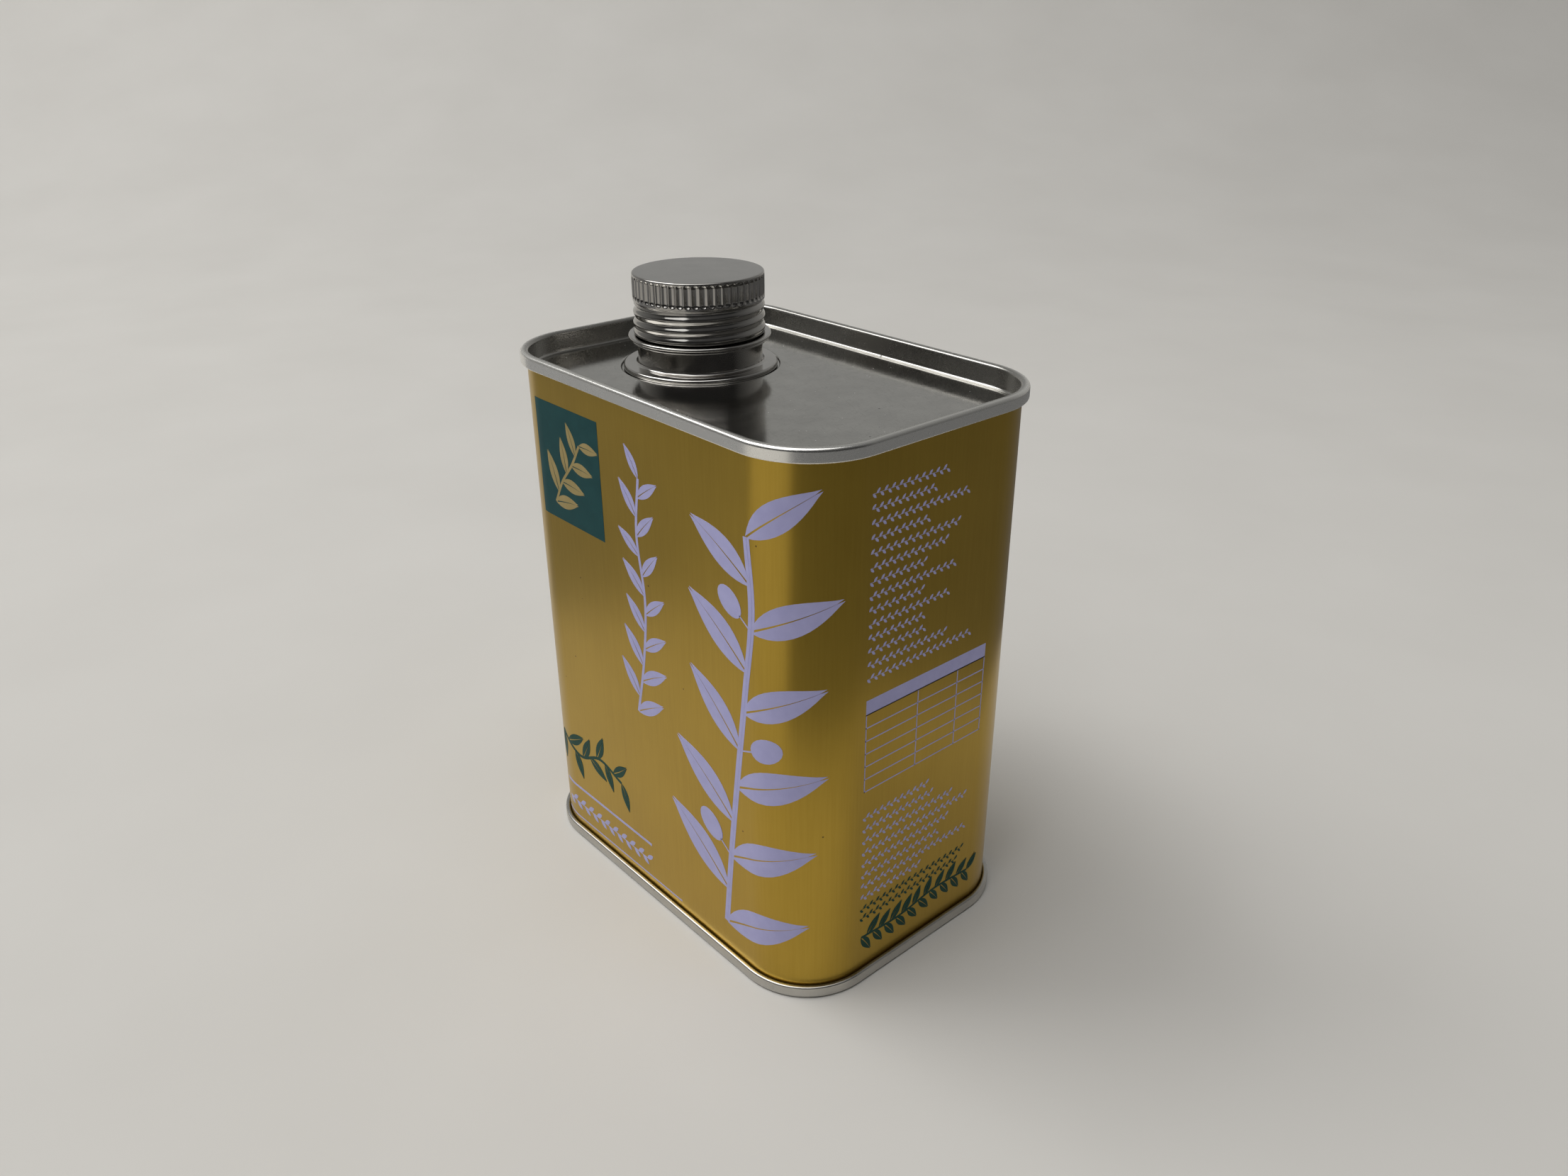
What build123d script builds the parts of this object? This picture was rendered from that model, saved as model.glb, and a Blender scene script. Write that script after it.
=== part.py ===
from build123d import *
import os

os.makedirs("parts", exist_ok=True)

# A small olive oil tin: a rounded rectangular tinplate can with a round metal pouring neck
# and a screw cap. Sizes are in millimetres. The tin stands on z = 0, its middle is on x = y = 0
# and its broad front faces -Y.

# Can: the outside of its wall, and the sheet that the wall and both ends are pressed from
can_height = 111.0
body_width = 89.5
body_depth = 60.5
body_corner = 14.0
tinplate = 0.25

# Welded lap down the middle of the back
lap_width = 1.2
lap_rise = 0.12
lap_end_gap = 0.4

# Double seams: five layers of sheet, the gaps between them, and how tightly they are bent
seam_height = 2.6
seam_layer_gap = 0.15
seam_inner_gap = 0.05
seam_top_bend = 0.55
hook_bend = 0.28
hook_tip_gap = 0.15

# Sealing compound laid under the top bend of each seam
compound_width = 0.4
compound_height = 0.3
compound_gap = 0.05

# End panels, sunk below the rims
panel_drop = 4.2
panel_bend = 0.8
panel_overlap = 2.0

# Neck: where it stands, and its sheet
neck_x = -19.0
neck_sheet = 0.3
stem_radius = 12.35
stem_height = 4.65
flange_width = 2.95
flange_lip = 0.9
flange_lip_bend = 0.3
foot_bend = 0.8
bead_reach = 1.7
bead_thickness = 1.25
bead_flat = 0.07
bead_root_bend = 0.25
mouth_step = 0.25
mouth_height = 9.3

# Round seat pressed into the top end for the neck, and the collar that is locked in the bead
seat_gap = 0.4
seat_depth = 0.5
seat_wall = 0.02
seat_overlap = 2.0
collar_gap = 0.1
collar_bend = 0.5
collar_tip_bend = 0.3
collar_tip_gap = 0.7

# Gasket ring under the neck's flange
gasket_thickness = 0.9
gasket_edge_gap = 0.3
gasket_inner_gap = 0.55

# Pouring insert pressed into the mouth
insert_flange = 0.8
insert_wall = 1.0
insert_depth = 7.4
insert_gap = 0.05
insert_floor = 0.8
insert_floor_drop = 5.4
spout_radius = 6.5
spout_wall = 0.8
spout_lip_drop = 0.5
air_hole_radius = 1.0

# Screw thread, shared by the neck and the cap
thread_pitch = 2.1
thread_rise = 0.4
thread_clearance = 0.15
thread_start_azimuth = -37.0
neck_thread_turns = 1.4
neck_thread_base_half = 0.45
neck_thread_crest_half = 0.2
roll_turns = 1.28
roll_base_half = 0.55
roll_crest_half = 0.25
roll_start_rise = 1.5
roll_ease = 0.04

# Cap: a drawn metal shell
cap_sheet = 0.3
cap_skirt_gap = 0.3
cap_edge_round = 0.35
grip_inset = 0.1
grip_height = 5.2
grip_wall = 0.5
groove_height = 0.9
flute_count = 54
flute_tool_radius = 0.75
flute_depth = 0.3
flute_top_margin = 0.5
flute_length = 4.15
flute_run_out = 0.6

# Liner disc in the cap
liner_thickness = 1.3
liner_gap = 0.15
liner_back_gap = 0.05
liner_edge_gap = 0.1

# How far a cutting shape runs past what it cuts
overrun = 0.2

# A shape that stands on its place, and one that hangs under it
rising = (Align.CENTER, Align.CENTER, Align.MIN)
hanging = (Align.CENTER, Align.CENTER, Align.MAX)

# Levels that the sizes above give
half_sheet = tinplate / 2
panel_top = can_height - panel_drop
seat_floor = panel_top - seat_depth
flange_bottom = seat_floor + gasket_thickness
flange_lip_bottom = flange_bottom + neck_sheet - flange_lip
bead_bottom = flange_bottom + stem_height
bead_top = bead_bottom + bead_thickness
mouth_top = bead_top + mouth_height
insert_top = mouth_top + insert_flange
liner_bottom = insert_top + liner_gap
cap_inner_top = liner_bottom + liner_thickness + liner_back_gap
cap_top = cap_inner_top + cap_sheet
cap_bottom = bead_top + cap_skirt_gap
grip_bottom = cap_top - grip_height
roll_start = cap_bottom + roll_start_rise

# Radii that the sizes above give
flange_radius = stem_radius + flange_width
bead_radius = stem_radius + bead_reach
mouth_radius = stem_radius - mouth_step
gasket_bore = stem_radius + gasket_inner_gap
mouth_bore = mouth_radius - neck_sheet
thread_crest_radius = mouth_radius + thread_rise
cap_bore = thread_crest_radius + thread_clearance
cap_radius = cap_bore + cap_sheet
roll_crest_radius = cap_bore - thread_rise
roll_depth = thread_rise - roll_ease
grip_radius = cap_radius - grip_inset
grip_bore = grip_radius - grip_wall
seat_radius = flange_radius + seat_gap
collar_radius = stem_radius - neck_sheet - collar_gap

# Bends that fill the height of the bead and of the seat's wall, but for a short straight stretch
bead_round = (bead_thickness - neck_sheet - bead_flat) / 2
seat_bend = (seat_depth - seat_wall) / 2

# Lines that the seams, the neck and the cap are made around
with BuildSketch() as footprint:
    RectangleRounded(body_width, body_depth, body_corner)
body_outline = footprint.sketch.face().outer_wire()
seam_plane = Plane(origin=body_outline @ 0, x_dir=(-1, 0, 0), z_dir=(0, 1, 0))
neck_plane = Plane(origin=(neck_x, 0, 0), x_dir=(1, 0, 0), z_dir=(0, -1, 0))
neck_axis = Axis((neck_x, 0, 0), (0, 0, 1))


def sweep_round_can(points, bends):
    """Bend a sheet along points (outwards from the can's wall, height), all round the can."""
    with BuildSketch(seam_plane) as section:
        with BuildLine():
            FilletPolyline(*points, radius=bends)
        trace(line_width=tinplate)
    sweep(sections=section.sketch, path=body_outline)


def spin_sheet(points, bends, sheet):
    """Bend a sheet along points (radius, height), all round the neck's axis."""
    with BuildSketch(neck_plane) as section:
        with BuildLine():
            FilletPolyline(*points, radius=bends)
        trace(line_width=sheet)
    revolve(section.sketch, axis=neck_axis)


def spin_outline(points, mode=Mode.ADD):
    """Turn a closed outline of points (radius, height) about the neck's axis."""
    with BuildSketch(neck_plane) as section:
        with BuildLine():
            Polyline(*points, close=True)
        make_face()
    revolve(section.sketch, axis=neck_axis, mode=mode)


def thread_sweep(radius, height, azimuth, turns, outer_half, inner_half, depth, mode):
    """Wind a tapered bar round the neck's axis: outer_half wide at radius, inner_half at its foot."""
    out = Vector(1, 0, 0).rotate(Axis.Z, azimuth)
    start = Plane(origin=(neck_x, 0, height), x_dir=out, z_dir=(0, 0, 1))
    helix = start.location * Edge.make_helix(thread_pitch, thread_pitch * turns, radius)
    with BuildSketch(Plane(origin=helix @ 0, x_dir=out, z_dir=helix % 0)) as section:
        with BuildLine():
            Polyline(
                (0, -outer_half),
                (0, outer_half),
                (-depth, inner_half),
                (-depth, -inner_half),
                close=True,
            )
        make_face()
    sweep(sections=section.sketch, path=helix, is_frenet=True, mode=mode)


# The five layers of a seam, each as its distance out from the can's wall
chuck_wall = -tinplate - seam_inner_gap - half_sheet
body_wall = -half_sheet
end_hook = seam_layer_gap + half_sheet
body_hook = end_hook + tinplate + seam_layer_gap
seam_wall = body_hook + tinplate + seam_layer_gap

# Levels of the top seam's sheets
seam_top = can_height - half_sheet
seam_foot = can_height - seam_height + half_sheet
body_hook_top = seam_top - tinplate - compound_height - 2 * compound_gap
body_hook_tip = seam_foot + half_sheet + hook_tip_gap
end_hook_tip = body_hook_top - half_sheet - hook_tip_gap


def end_rim():
    """The rim of the top end: panel edge, chuck wall, rounded seam top and end hook."""
    sweep_round_can(
        [
            (chuck_wall - panel_bend - panel_overlap, panel_top - half_sheet),
            (chuck_wall, panel_top - half_sheet),
            (chuck_wall, seam_top),
            (seam_wall, seam_top),
            (seam_wall, seam_foot),
            (end_hook, seam_foot),
            (end_hook, end_hook_tip),
        ],
        [panel_bend, seam_top_bend, seam_top_bend, hook_bend, hook_bend],
    )


def end_panel():
    """The flat panel inside the rim of the top end."""
    inset = chuck_wall - panel_bend
    with BuildSketch(Plane.XY.offset(panel_top - tinplate)) as panel:
        RectangleRounded(body_width + 2 * inset, body_depth + 2 * inset, body_corner + inset)
    extrude(panel.sketch, amount=tinplate)


def seam_compound():
    """The bead of sealing compound between the top bends of the top seam."""
    middle = (chuck_wall + seam_wall) / 2
    with BuildSketch(seam_plane) as section:
        with Locations((middle, seam_top - half_sheet - compound_gap - compound_height / 2)):
            Rectangle(compound_width, compound_height)
    sweep(sections=section.sketch, path=body_outline)


# Can body: one wall, turned out and down into a hook at the top and the bottom
with BuildPart() as can_body:
    sweep_round_can(
        [
            (body_hook, body_hook_tip),
            (body_hook, body_hook_top),
            (body_wall, body_hook_top),
            (body_wall, can_height - body_hook_top),
            (body_hook, can_height - body_hook_top),
            (body_hook, can_height - body_hook_tip),
        ],
        [hook_bend, hook_bend, hook_bend, hook_bend],
    )
    lap_height = can_height - 2 * seam_height - 2 * lap_end_gap
    with Locations((0, body_depth / 2 + lap_rise, can_height / 2)):
        Box(lap_width, lap_rise + tinplate, lap_height, align=(Align.CENTER, Align.MAX, Align.CENTER))

# Top end: sunk panel with a round seat, whose collar stands up inside the neck
with BuildPart() as top_end:
    end_rim()
    end_panel()
    with BuildSketch(Plane.XY.offset(panel_top - tinplate - overrun)):
        with Locations((neck_x, 0)):
            Circle(seat_radius + seat_overlap)
    extrude(amount=tinplate + 2 * overrun, mode=Mode.SUBTRACT)
    spin_sheet(
        [
            (seat_radius + seat_overlap, panel_top - half_sheet),
            (seat_radius + half_sheet, panel_top - half_sheet),
            (seat_radius + half_sheet, seat_floor - half_sheet),
            (collar_radius - half_sheet, seat_floor - half_sheet),
            (collar_radius - half_sheet, (bead_bottom + bead_top) / 2),
            (bead_radius - neck_sheet - collar_tip_gap, (bead_bottom + bead_top) / 2),
        ],
        [seat_bend, seat_bend, collar_bend, collar_tip_bend],
        tinplate,
    )

# Bottom end: the same pressing without a seat, turned over
with BuildPart() as bottom_end:
    end_rim()
    end_panel()
    mirror(about=Plane.XY.offset(can_height / 2), mode=Mode.REPLACE)

# Sealing compound in both seams
with BuildPart() as top_seam_compound:
    seam_compound()

with BuildPart() as bottom_seam_compound:
    seam_compound()
    mirror(about=Plane.XY.offset(can_height / 2), mode=Mode.REPLACE)

# Neck: flange with a turned-down lip, stem, folded bead and threaded mouth, spun from one sheet
with BuildPart() as neck_spout:
    spin_sheet(
        [
            (flange_radius - neck_sheet / 2, flange_lip_bottom),
            (flange_radius - neck_sheet / 2, flange_bottom + neck_sheet / 2),
            (stem_radius - neck_sheet / 2, flange_bottom + neck_sheet / 2),
            (stem_radius - neck_sheet / 2, bead_bottom + neck_sheet / 2),
            (bead_radius - neck_sheet / 2, bead_bottom + neck_sheet / 2),
            (bead_radius - neck_sheet / 2, bead_top - neck_sheet / 2),
            (mouth_radius - neck_sheet / 2, bead_top - neck_sheet / 2),
            (mouth_radius - neck_sheet / 2, mouth_top),
        ],
        [flange_lip_bend, foot_bend, bead_root_bend, bead_round, bead_round, bead_root_bend],
        neck_sheet,
    )
    # The ridge lies midway between the turns of the cap's roll
    thread_sweep(
        thread_crest_radius,
        roll_start,
        thread_start_azimuth + 180,
        neck_thread_turns,
        neck_thread_crest_half,
        neck_thread_base_half,
        thread_rise + neck_sheet / 2,
        Mode.ADD,
    )

# Gasket ring between the flange and the seat, inside the lip
with BuildPart() as neck_gasket:
    gasket_outer = flange_radius - neck_sheet - gasket_edge_gap
    spin_outline(
        [
            (gasket_bore, seat_floor),
            (gasket_outer, seat_floor),
            (gasket_outer, flange_bottom),
            (gasket_bore, flange_bottom),
        ]
    )

# Pouring insert: flange on the mouth, plug wall, floor and an upright spout lip
with BuildPart() as pour_insert:
    plug_radius = mouth_bore - insert_gap
    plug_bore = plug_radius - insert_wall
    floor_top = insert_top - insert_floor_drop
    floor_bottom = floor_top - insert_floor
    spout_top = insert_top - spout_lip_drop
    spout_bore = spout_radius - spout_wall
    spin_outline(
        [
            (mouth_radius, mouth_top),
            (mouth_radius, insert_top),
            (plug_bore, insert_top),
            (plug_bore, floor_top),
            (spout_radius, floor_top),
            (spout_radius, spout_top),
            (spout_bore, spout_top),
            (spout_bore, floor_bottom),
            (plug_bore, floor_bottom),
            (plug_bore, mouth_top - insert_depth),
            (plug_radius, mouth_top - insert_depth),
            (plug_radius, mouth_top),
        ]
    )
    with Locations((neck_x - (plug_bore + spout_radius) / 2, 0, floor_bottom + insert_floor / 2)):
        Cylinder(air_hole_radius, insert_floor + 2 * overrun, mode=Mode.SUBTRACT)

# Cap: fluted grip, a groove under it, and a thread rolled in between the neck's turns
with BuildPart() as cap_shell:
    groove_radius = cap_radius - thread_rise
    groove_bottom = grip_bottom - groove_height
    spin_outline(
        [
            (0, cap_top),
            (grip_radius, cap_top),
            (grip_radius, grip_bottom),
            (cap_radius, grip_bottom),
            (cap_radius, cap_bottom),
            (cap_bore, cap_bottom),
            (cap_bore, groove_bottom - cap_sheet),
            (roll_crest_radius, groove_bottom - cap_sheet),
            (roll_crest_radius, grip_bottom),
            (grip_bore, grip_bottom),
            (grip_bore, cap_inner_top),
            (0, cap_inner_top),
        ]
    )
    top_edge = cap_shell.edges().filter_by(GeomType.CIRCLE).group_by(Axis.Z)[-1]
    fillet(top_edge, cap_edge_round)
    flute_middle = cap_top - flute_top_margin - flute_length / 2
    flute_half = flute_length / 2 - flute_run_out
    flute_ring = grip_radius + flute_tool_radius - flute_depth
    flute_cone = flute_run_out * flute_tool_radius / flute_depth
    with Locations((neck_x, 0, flute_middle)):
        with PolarLocations(flute_ring, flute_count):
            Cylinder(flute_tool_radius, 2 * flute_half, mode=Mode.SUBTRACT)
    # Each flute runs out over a cone at both ends
    with Locations((neck_x, 0, flute_middle + flute_half)):
        with PolarLocations(flute_ring, flute_count):
            Cone(flute_tool_radius, 0, flute_cone, align=rising, mode=Mode.SUBTRACT)
    with Locations((neck_x, 0, flute_middle - flute_half)):
        with PolarLocations(flute_ring, flute_count):
            Cone(0, flute_tool_radius, flute_cone, align=hanging, mode=Mode.SUBTRACT)
    thread_sweep(
        cap_bore + cap_sheet / 2,
        roll_start,
        thread_start_azimuth,
        roll_turns,
        roll_base_half + cap_sheet / 2,
        roll_crest_half,
        roll_depth + cap_sheet / 2,
        Mode.ADD,
    )
    spin_outline(
        [
            (groove_radius, groove_bottom),
            (cap_radius + overrun, groove_bottom),
            (cap_radius + overrun, grip_bottom),
            (groove_radius, grip_bottom),
        ],
        Mode.SUBTRACT,
    )
    thread_sweep(
        cap_radius + overrun,
        roll_start,
        thread_start_azimuth,
        roll_turns,
        roll_base_half + overrun,
        roll_crest_half,
        roll_depth + overrun,
        Mode.SUBTRACT,
    )

# Liner disc that seals on the insert
with BuildPart() as cap_liner:
    with BuildSketch(Plane.XY.offset(liner_bottom)):
        with Locations((neck_x, 0)):
            Circle(grip_bore - liner_edge_gap)
    extrude(amount=liner_thickness)

pieces = {
    "can_body": can_body,
    "top_end": top_end,
    "bottom_end": bottom_end,
    "top_seam_compound": top_seam_compound,
    "bottom_seam_compound": bottom_seam_compound,
    "neck_spout": neck_spout,
    "neck_gasket": neck_gasket,
    "pour_insert": pour_insert,
    "cap_shell": cap_shell,
    "cap_liner": cap_liner,
}
for name, piece in pieces.items():
    piece.part.label = name
    export_step(piece.part, "parts/" + name + ".step")
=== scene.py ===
import math
import random

import bmesh
import bpy
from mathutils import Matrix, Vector


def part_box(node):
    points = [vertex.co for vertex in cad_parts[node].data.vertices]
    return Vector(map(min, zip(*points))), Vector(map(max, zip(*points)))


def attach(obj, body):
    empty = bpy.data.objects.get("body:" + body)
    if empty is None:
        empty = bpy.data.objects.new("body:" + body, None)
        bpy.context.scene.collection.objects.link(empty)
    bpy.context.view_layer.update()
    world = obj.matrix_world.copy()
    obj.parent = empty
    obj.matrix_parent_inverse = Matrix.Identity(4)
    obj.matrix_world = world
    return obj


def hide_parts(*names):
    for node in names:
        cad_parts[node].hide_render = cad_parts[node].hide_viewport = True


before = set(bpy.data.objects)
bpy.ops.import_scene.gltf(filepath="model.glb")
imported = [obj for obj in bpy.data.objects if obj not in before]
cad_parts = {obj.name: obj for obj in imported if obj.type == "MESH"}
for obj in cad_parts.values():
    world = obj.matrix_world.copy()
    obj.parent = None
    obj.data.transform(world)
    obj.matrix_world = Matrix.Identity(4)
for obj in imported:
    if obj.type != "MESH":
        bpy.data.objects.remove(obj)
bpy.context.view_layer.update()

# An olive oil tin: gold-lacquered tinplate body, bright seams and sunk end, beaded neck and screw cap.
# Lengths are in metres, written as millimetres times MM.
MM = 0.001

# Places and overall sizes come from the frame
can_low, can_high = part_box("can_body")
_, top_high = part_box("top_end")
neck_low, neck_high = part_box("neck_spout")
cap_low, cap_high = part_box("cap_shell")
liner_low, liner_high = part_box("cap_liner")
gasket_low, gasket_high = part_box("neck_gasket")
insert_low, insert_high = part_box("pour_insert")

# Can wall and double seams
SHEET = 0.25 * MM
SEAM_OUT = 1.2 * MM
SEAM_HEIGHT = 2.6 * MM
LAYER_GAP = 0.15 * MM
INNER_GAP = 0.05 * MM
SEAM_TOP_BEND = 0.55 * MM
HOOK_BEND = 0.28 * MM
HOOK_TIP_GAP = 0.15 * MM
COMPOUND_ROOM = 0.4 * MM
CORNER = 14.0 * MM
PANEL_DROP = 4.2 * MM
PANEL_BEND = 0.8 * MM
PANEL_FOOT = 2.0 * MM
LAP_WIDTH = 1.2 * MM
LAP_RISE = 0.12 * MM
LAP_END_GAP = 0.4 * MM
BARE_MARGIN = 3.0 * MM

# The wall ends as far below the top rim as it starts above the floor
rim_top = can_low.z + can_high.z
half_width = top_high.x - SEAM_OUT
half_depth = top_high.y - SEAM_OUT
flat_half_width = half_width - CORNER
flat_half_depth = half_depth - CORNER
panel_top = rim_top - PANEL_DROP

# Levels of the seam's five layers, and their distances out from the wall
chuck_wall = -SHEET - INNER_GAP - SHEET / 2
end_hook = LAYER_GAP + SHEET / 2
body_hook = end_hook + SHEET + LAYER_GAP
seam_wall = body_hook + SHEET + LAYER_GAP
seam_top = rim_top - SHEET / 2
seam_foot = rim_top - SEAM_HEIGHT + SHEET / 2
body_hook_top = seam_top - SHEET - COMPOUND_ROOM
body_hook_tip = seam_foot + SHEET / 2 + HOOK_TIP_GAP
end_hook_tip = body_hook_top - SHEET / 2 - HOOK_TIP_GAP

# Neck and its seat
NECK_SHEET = 0.3 * MM
STEM_RADIUS = 12.35 * MM
FOOT_BEND = 0.8 * MM
FLANGE_LIP = 0.9 * MM
FLANGE_LIP_BEND = 0.3 * MM
BEAD_RADIUS = 14.05 * MM
BEAD_THICKNESS = 1.25 * MM
BEAD_ROUND = 0.44 * MM
BEAD_ROOT = 0.25 * MM
UPPER_RING_ROUND = 0.34 * MM
LOWER_RING_RADIUS = 13.6 * MM
LOWER_RING_ROUND = 0.26 * MM
RING_GROOVE_RADIUS = 13.3 * MM
MOUTH_RADIUS = 12.1 * MM
MOUTH_HEIGHT = 9.3 * MM
SEAT_GAP = 0.4 * MM
SEAT_DEPTH = 0.5 * MM
SEAT_BEND = 0.24 * MM
SEAT_FOOT = 1.0 * MM
COLLAR_GAP = 0.1 * MM
COLLAR_BEND = 0.5 * MM
COLLAR_TIP_BEND = 0.3 * MM
COLLAR_TIP_GAP = 0.7 * MM

neck_x = (neck_low.x + neck_high.x) / 2
flange_radius = (neck_high.x - neck_low.x) / 2
flange_bottom = neck_low.z + FLANGE_LIP - NECK_SHEET
mouth_top = neck_high.z
bead_top = mouth_top - MOUTH_HEIGHT
bead_bottom = bead_top - BEAD_THICKNESS
seat_floor = panel_top - SEAT_DEPTH
seat_radius = flange_radius + SEAT_GAP

# Cap
CAP_SHEET = 0.3 * MM
CAP_EDGE = 0.35 * MM
SKIRT_ROUND = 0.12 * MM
THREAD_PITCH = 2.1 * MM
THREAD_RISE = 0.4 * MM
THREAD_AZIMUTH = math.radians(-37.0)
THREAD_START = 1.5 * MM
GRIP_INSET = 0.1 * MM
GRIP_HEIGHT = 5.2 * MM
GRIP_WALL = 0.5 * MM
GROOVE_HEIGHT = 0.9 * MM
GROOVE_FLATNESS = 1.6
FLUTES = 54
FLUTE_TOOL = 0.88 * MM
FLUTE_DEPTH = 0.34 * MM
FLUTE_MARGIN = 0.5 * MM
FLUTE_LENGTH = 4.15 * MM
FLUTE_RUN_OUT = 0.6 * MM

cap_top = cap_high.z
cap_bottom = cap_low.z
cap_radius = (cap_high.y - cap_low.y) / 2
grip_radius = cap_radius - GRIP_INSET
grip_bottom = cap_top - GRIP_HEIGHT
roll_start = cap_bottom + THREAD_START

# Seals and pouring insert
LINER_HUB = 0.02 * MM
LINER_BEVEL = 0.015 * MM
GASKET_ROOM = 0.55 * MM
GASKET_BEVEL = 0.05 * MM
PLUG_GAP = 0.05 * MM
PLUG_WALL = 1.0 * MM
INSERT_FLOOR_DEPTH = 5.4 * MM
INSERT_FLOOR = 0.8 * MM
INSERT_LIP_DROP = 0.5 * MM
INSERT_LIP_RADIUS = 6.5 * MM
INSERT_THROAT_RADIUS = 5.7 * MM
INSERT_BEVEL = 0.14 * MM

# How finely the meshes are divided
CORNER_STEPS = 20
SEAT_SEGMENTS = 192
NECK_SEGMENTS = 288
TURNED_SEGMENTS = 160
STEPS_PER_FLUTE = 12
BEAD_STEPS = 12
CAP_EDGE_STEPS = 8
CAP_TOP_RING_SHARES = (0.3, 0.6, 0.85, 0.93)
BEND_GUARD = 0.12 * MM
THREAD_STEP = 0.13 * MM
GRIP_STEP = 0.12 * MM
CAP_INNER_STEP = 0.2 * MM
SHEET_STEP = 0.5 * MM
MERGE_DISTANCE = 0.0005 * MM
SAME_RADIUS = 0.01 * MM


# Meshes from sections

def bent_sheet(points, bends, thickness, steps):
    """Both faces of a sheet bent along points (u, height): a closed outline with rounded bends."""
    line = [Vector(p) for p in points]
    samples = [(line[0], (line[1] - line[0]).normalized())]
    for i, bend in enumerate(bends, start=1):
        before = (line[i] - line[i - 1]).normalized()
        after = (line[i + 1] - line[i]).normalized()
        turn = math.atan2(before.x * after.y - before.y * after.x, before.dot(after))
        reach = bend * math.tan(abs(turn) / 2)
        side = math.copysign(1, turn)
        start = line[i] - before * reach
        centre = start + Vector((-before.y, before.x)) * bend * side
        samples.append((start - before * BEND_GUARD, before))
        for k in range(steps + 1):
            angle = turn * k / steps
            along = Vector((
                before.x * math.cos(angle) - before.y * math.sin(angle),
                before.x * math.sin(angle) + before.y * math.cos(angle),
            ))
            samples.append((centre - Vector((-along.y, along.x)) * bend * side, along))
        samples.append((line[i] + after * (reach + BEND_GUARD), after))
    samples.append((line[-1], (line[-1] - line[-2]).normalized()))
    left = [p + Vector((-d.y, d.x)) * thickness / 2 for p, d in samples]
    right = [p - Vector((-d.y, d.x)) * thickness / 2 for p, d in samples]
    return left + right[::-1]


def wall_loop(out):
    """Points (x, y) round the can, a distance out from its wall."""
    loop = []
    corners = ((1, -1, -90), (1, 1, 0), (-1, 1, 90), (-1, -1, 180))
    for sx, sy, first in corners:
        for k in range(CORNER_STEPS + 1):
            angle = math.radians(first + 90 * k / CORNER_STEPS)
            loop.append((
                sx * flat_half_width + (CORNER + out) * math.cos(angle),
                sy * flat_half_depth + (CORNER + out) * math.sin(angle),
            ))
    return loop


def add_rings(bm, rings, close):
    """Faces between rings of points; close joins the last ring to the first."""
    made = [[bm.verts.new(p) for p in ring] for ring in rings]
    pairs = list(zip(made, made[1:])) + ([(made[-1], made[0])] if close else [])
    for a, b in pairs:
        for i in range(len(a)):
            j = (i + 1) % len(a)
            bm.faces.new((a[i], a[j], b[j], b[i]))
    return made


def round_the_can(bm, outline, close=True):
    """Carry an outline of (distance out from the wall, height) round the can."""
    rings = [[(x, y, height) for x, y in wall_loop(out)] for out, height in outline]
    return add_rings(bm, rings, close)


def round_the_neck(bm, outline, segments, close=True):
    """Turn an outline of (radius, height) round the neck's axis."""
    angles = [2 * math.pi * k / segments for k in range(segments)]
    rings = [
        [(neck_x + radius * math.cos(a), radius * math.sin(a), height) for a in angles]
        for radius, height in outline
    ]
    return add_rings(bm, rings, close)


def to_mesh(bm, name):
    """Turn a bmesh into a mesh whose faces point outwards."""
    bmesh.ops.recalc_face_normals(bm, faces=bm.faces)
    mesh = bpy.data.meshes.new(name)
    bm.to_mesh(mesh)
    bm.free()
    return mesh


def add_object(name, data):
    """Put a new object with this data in the scene."""
    made = bpy.data.objects.new(name, data)
    bpy.context.scene.collection.objects.link(made)
    return made


def place_piece(mesh, name, body, material, node=None):
    """Make a mesh a piece of the tin that rides on a body, and stands for a node where one is named."""
    mesh.shade_smooth()
    mesh.materials.clear()
    mesh.materials.append(material)
    piece = add_object(name, mesh)
    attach(piece, body)
    if node:
        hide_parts(node)


def finish_piece(bm, name, body, material, node):
    """Close the seams and poles of a bmesh, and place it as a piece."""
    bmesh.ops.remove_doubles(bm, verts=bm.verts, dist=MERGE_DISTANCE)
    place_piece(to_mesh(bm, name), name, body, material, node)


# Shader and geometry nodes

FLOAT = "NodeSocketFloat"
INTEGER = "NodeSocketInt"
VECTOR = "NodeSocketVector"
GEOMETRY = "NodeSocketGeometry"
OBJECT = "NodeSocketObject"
MATERIAL = "NodeSocketMaterial"


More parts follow.
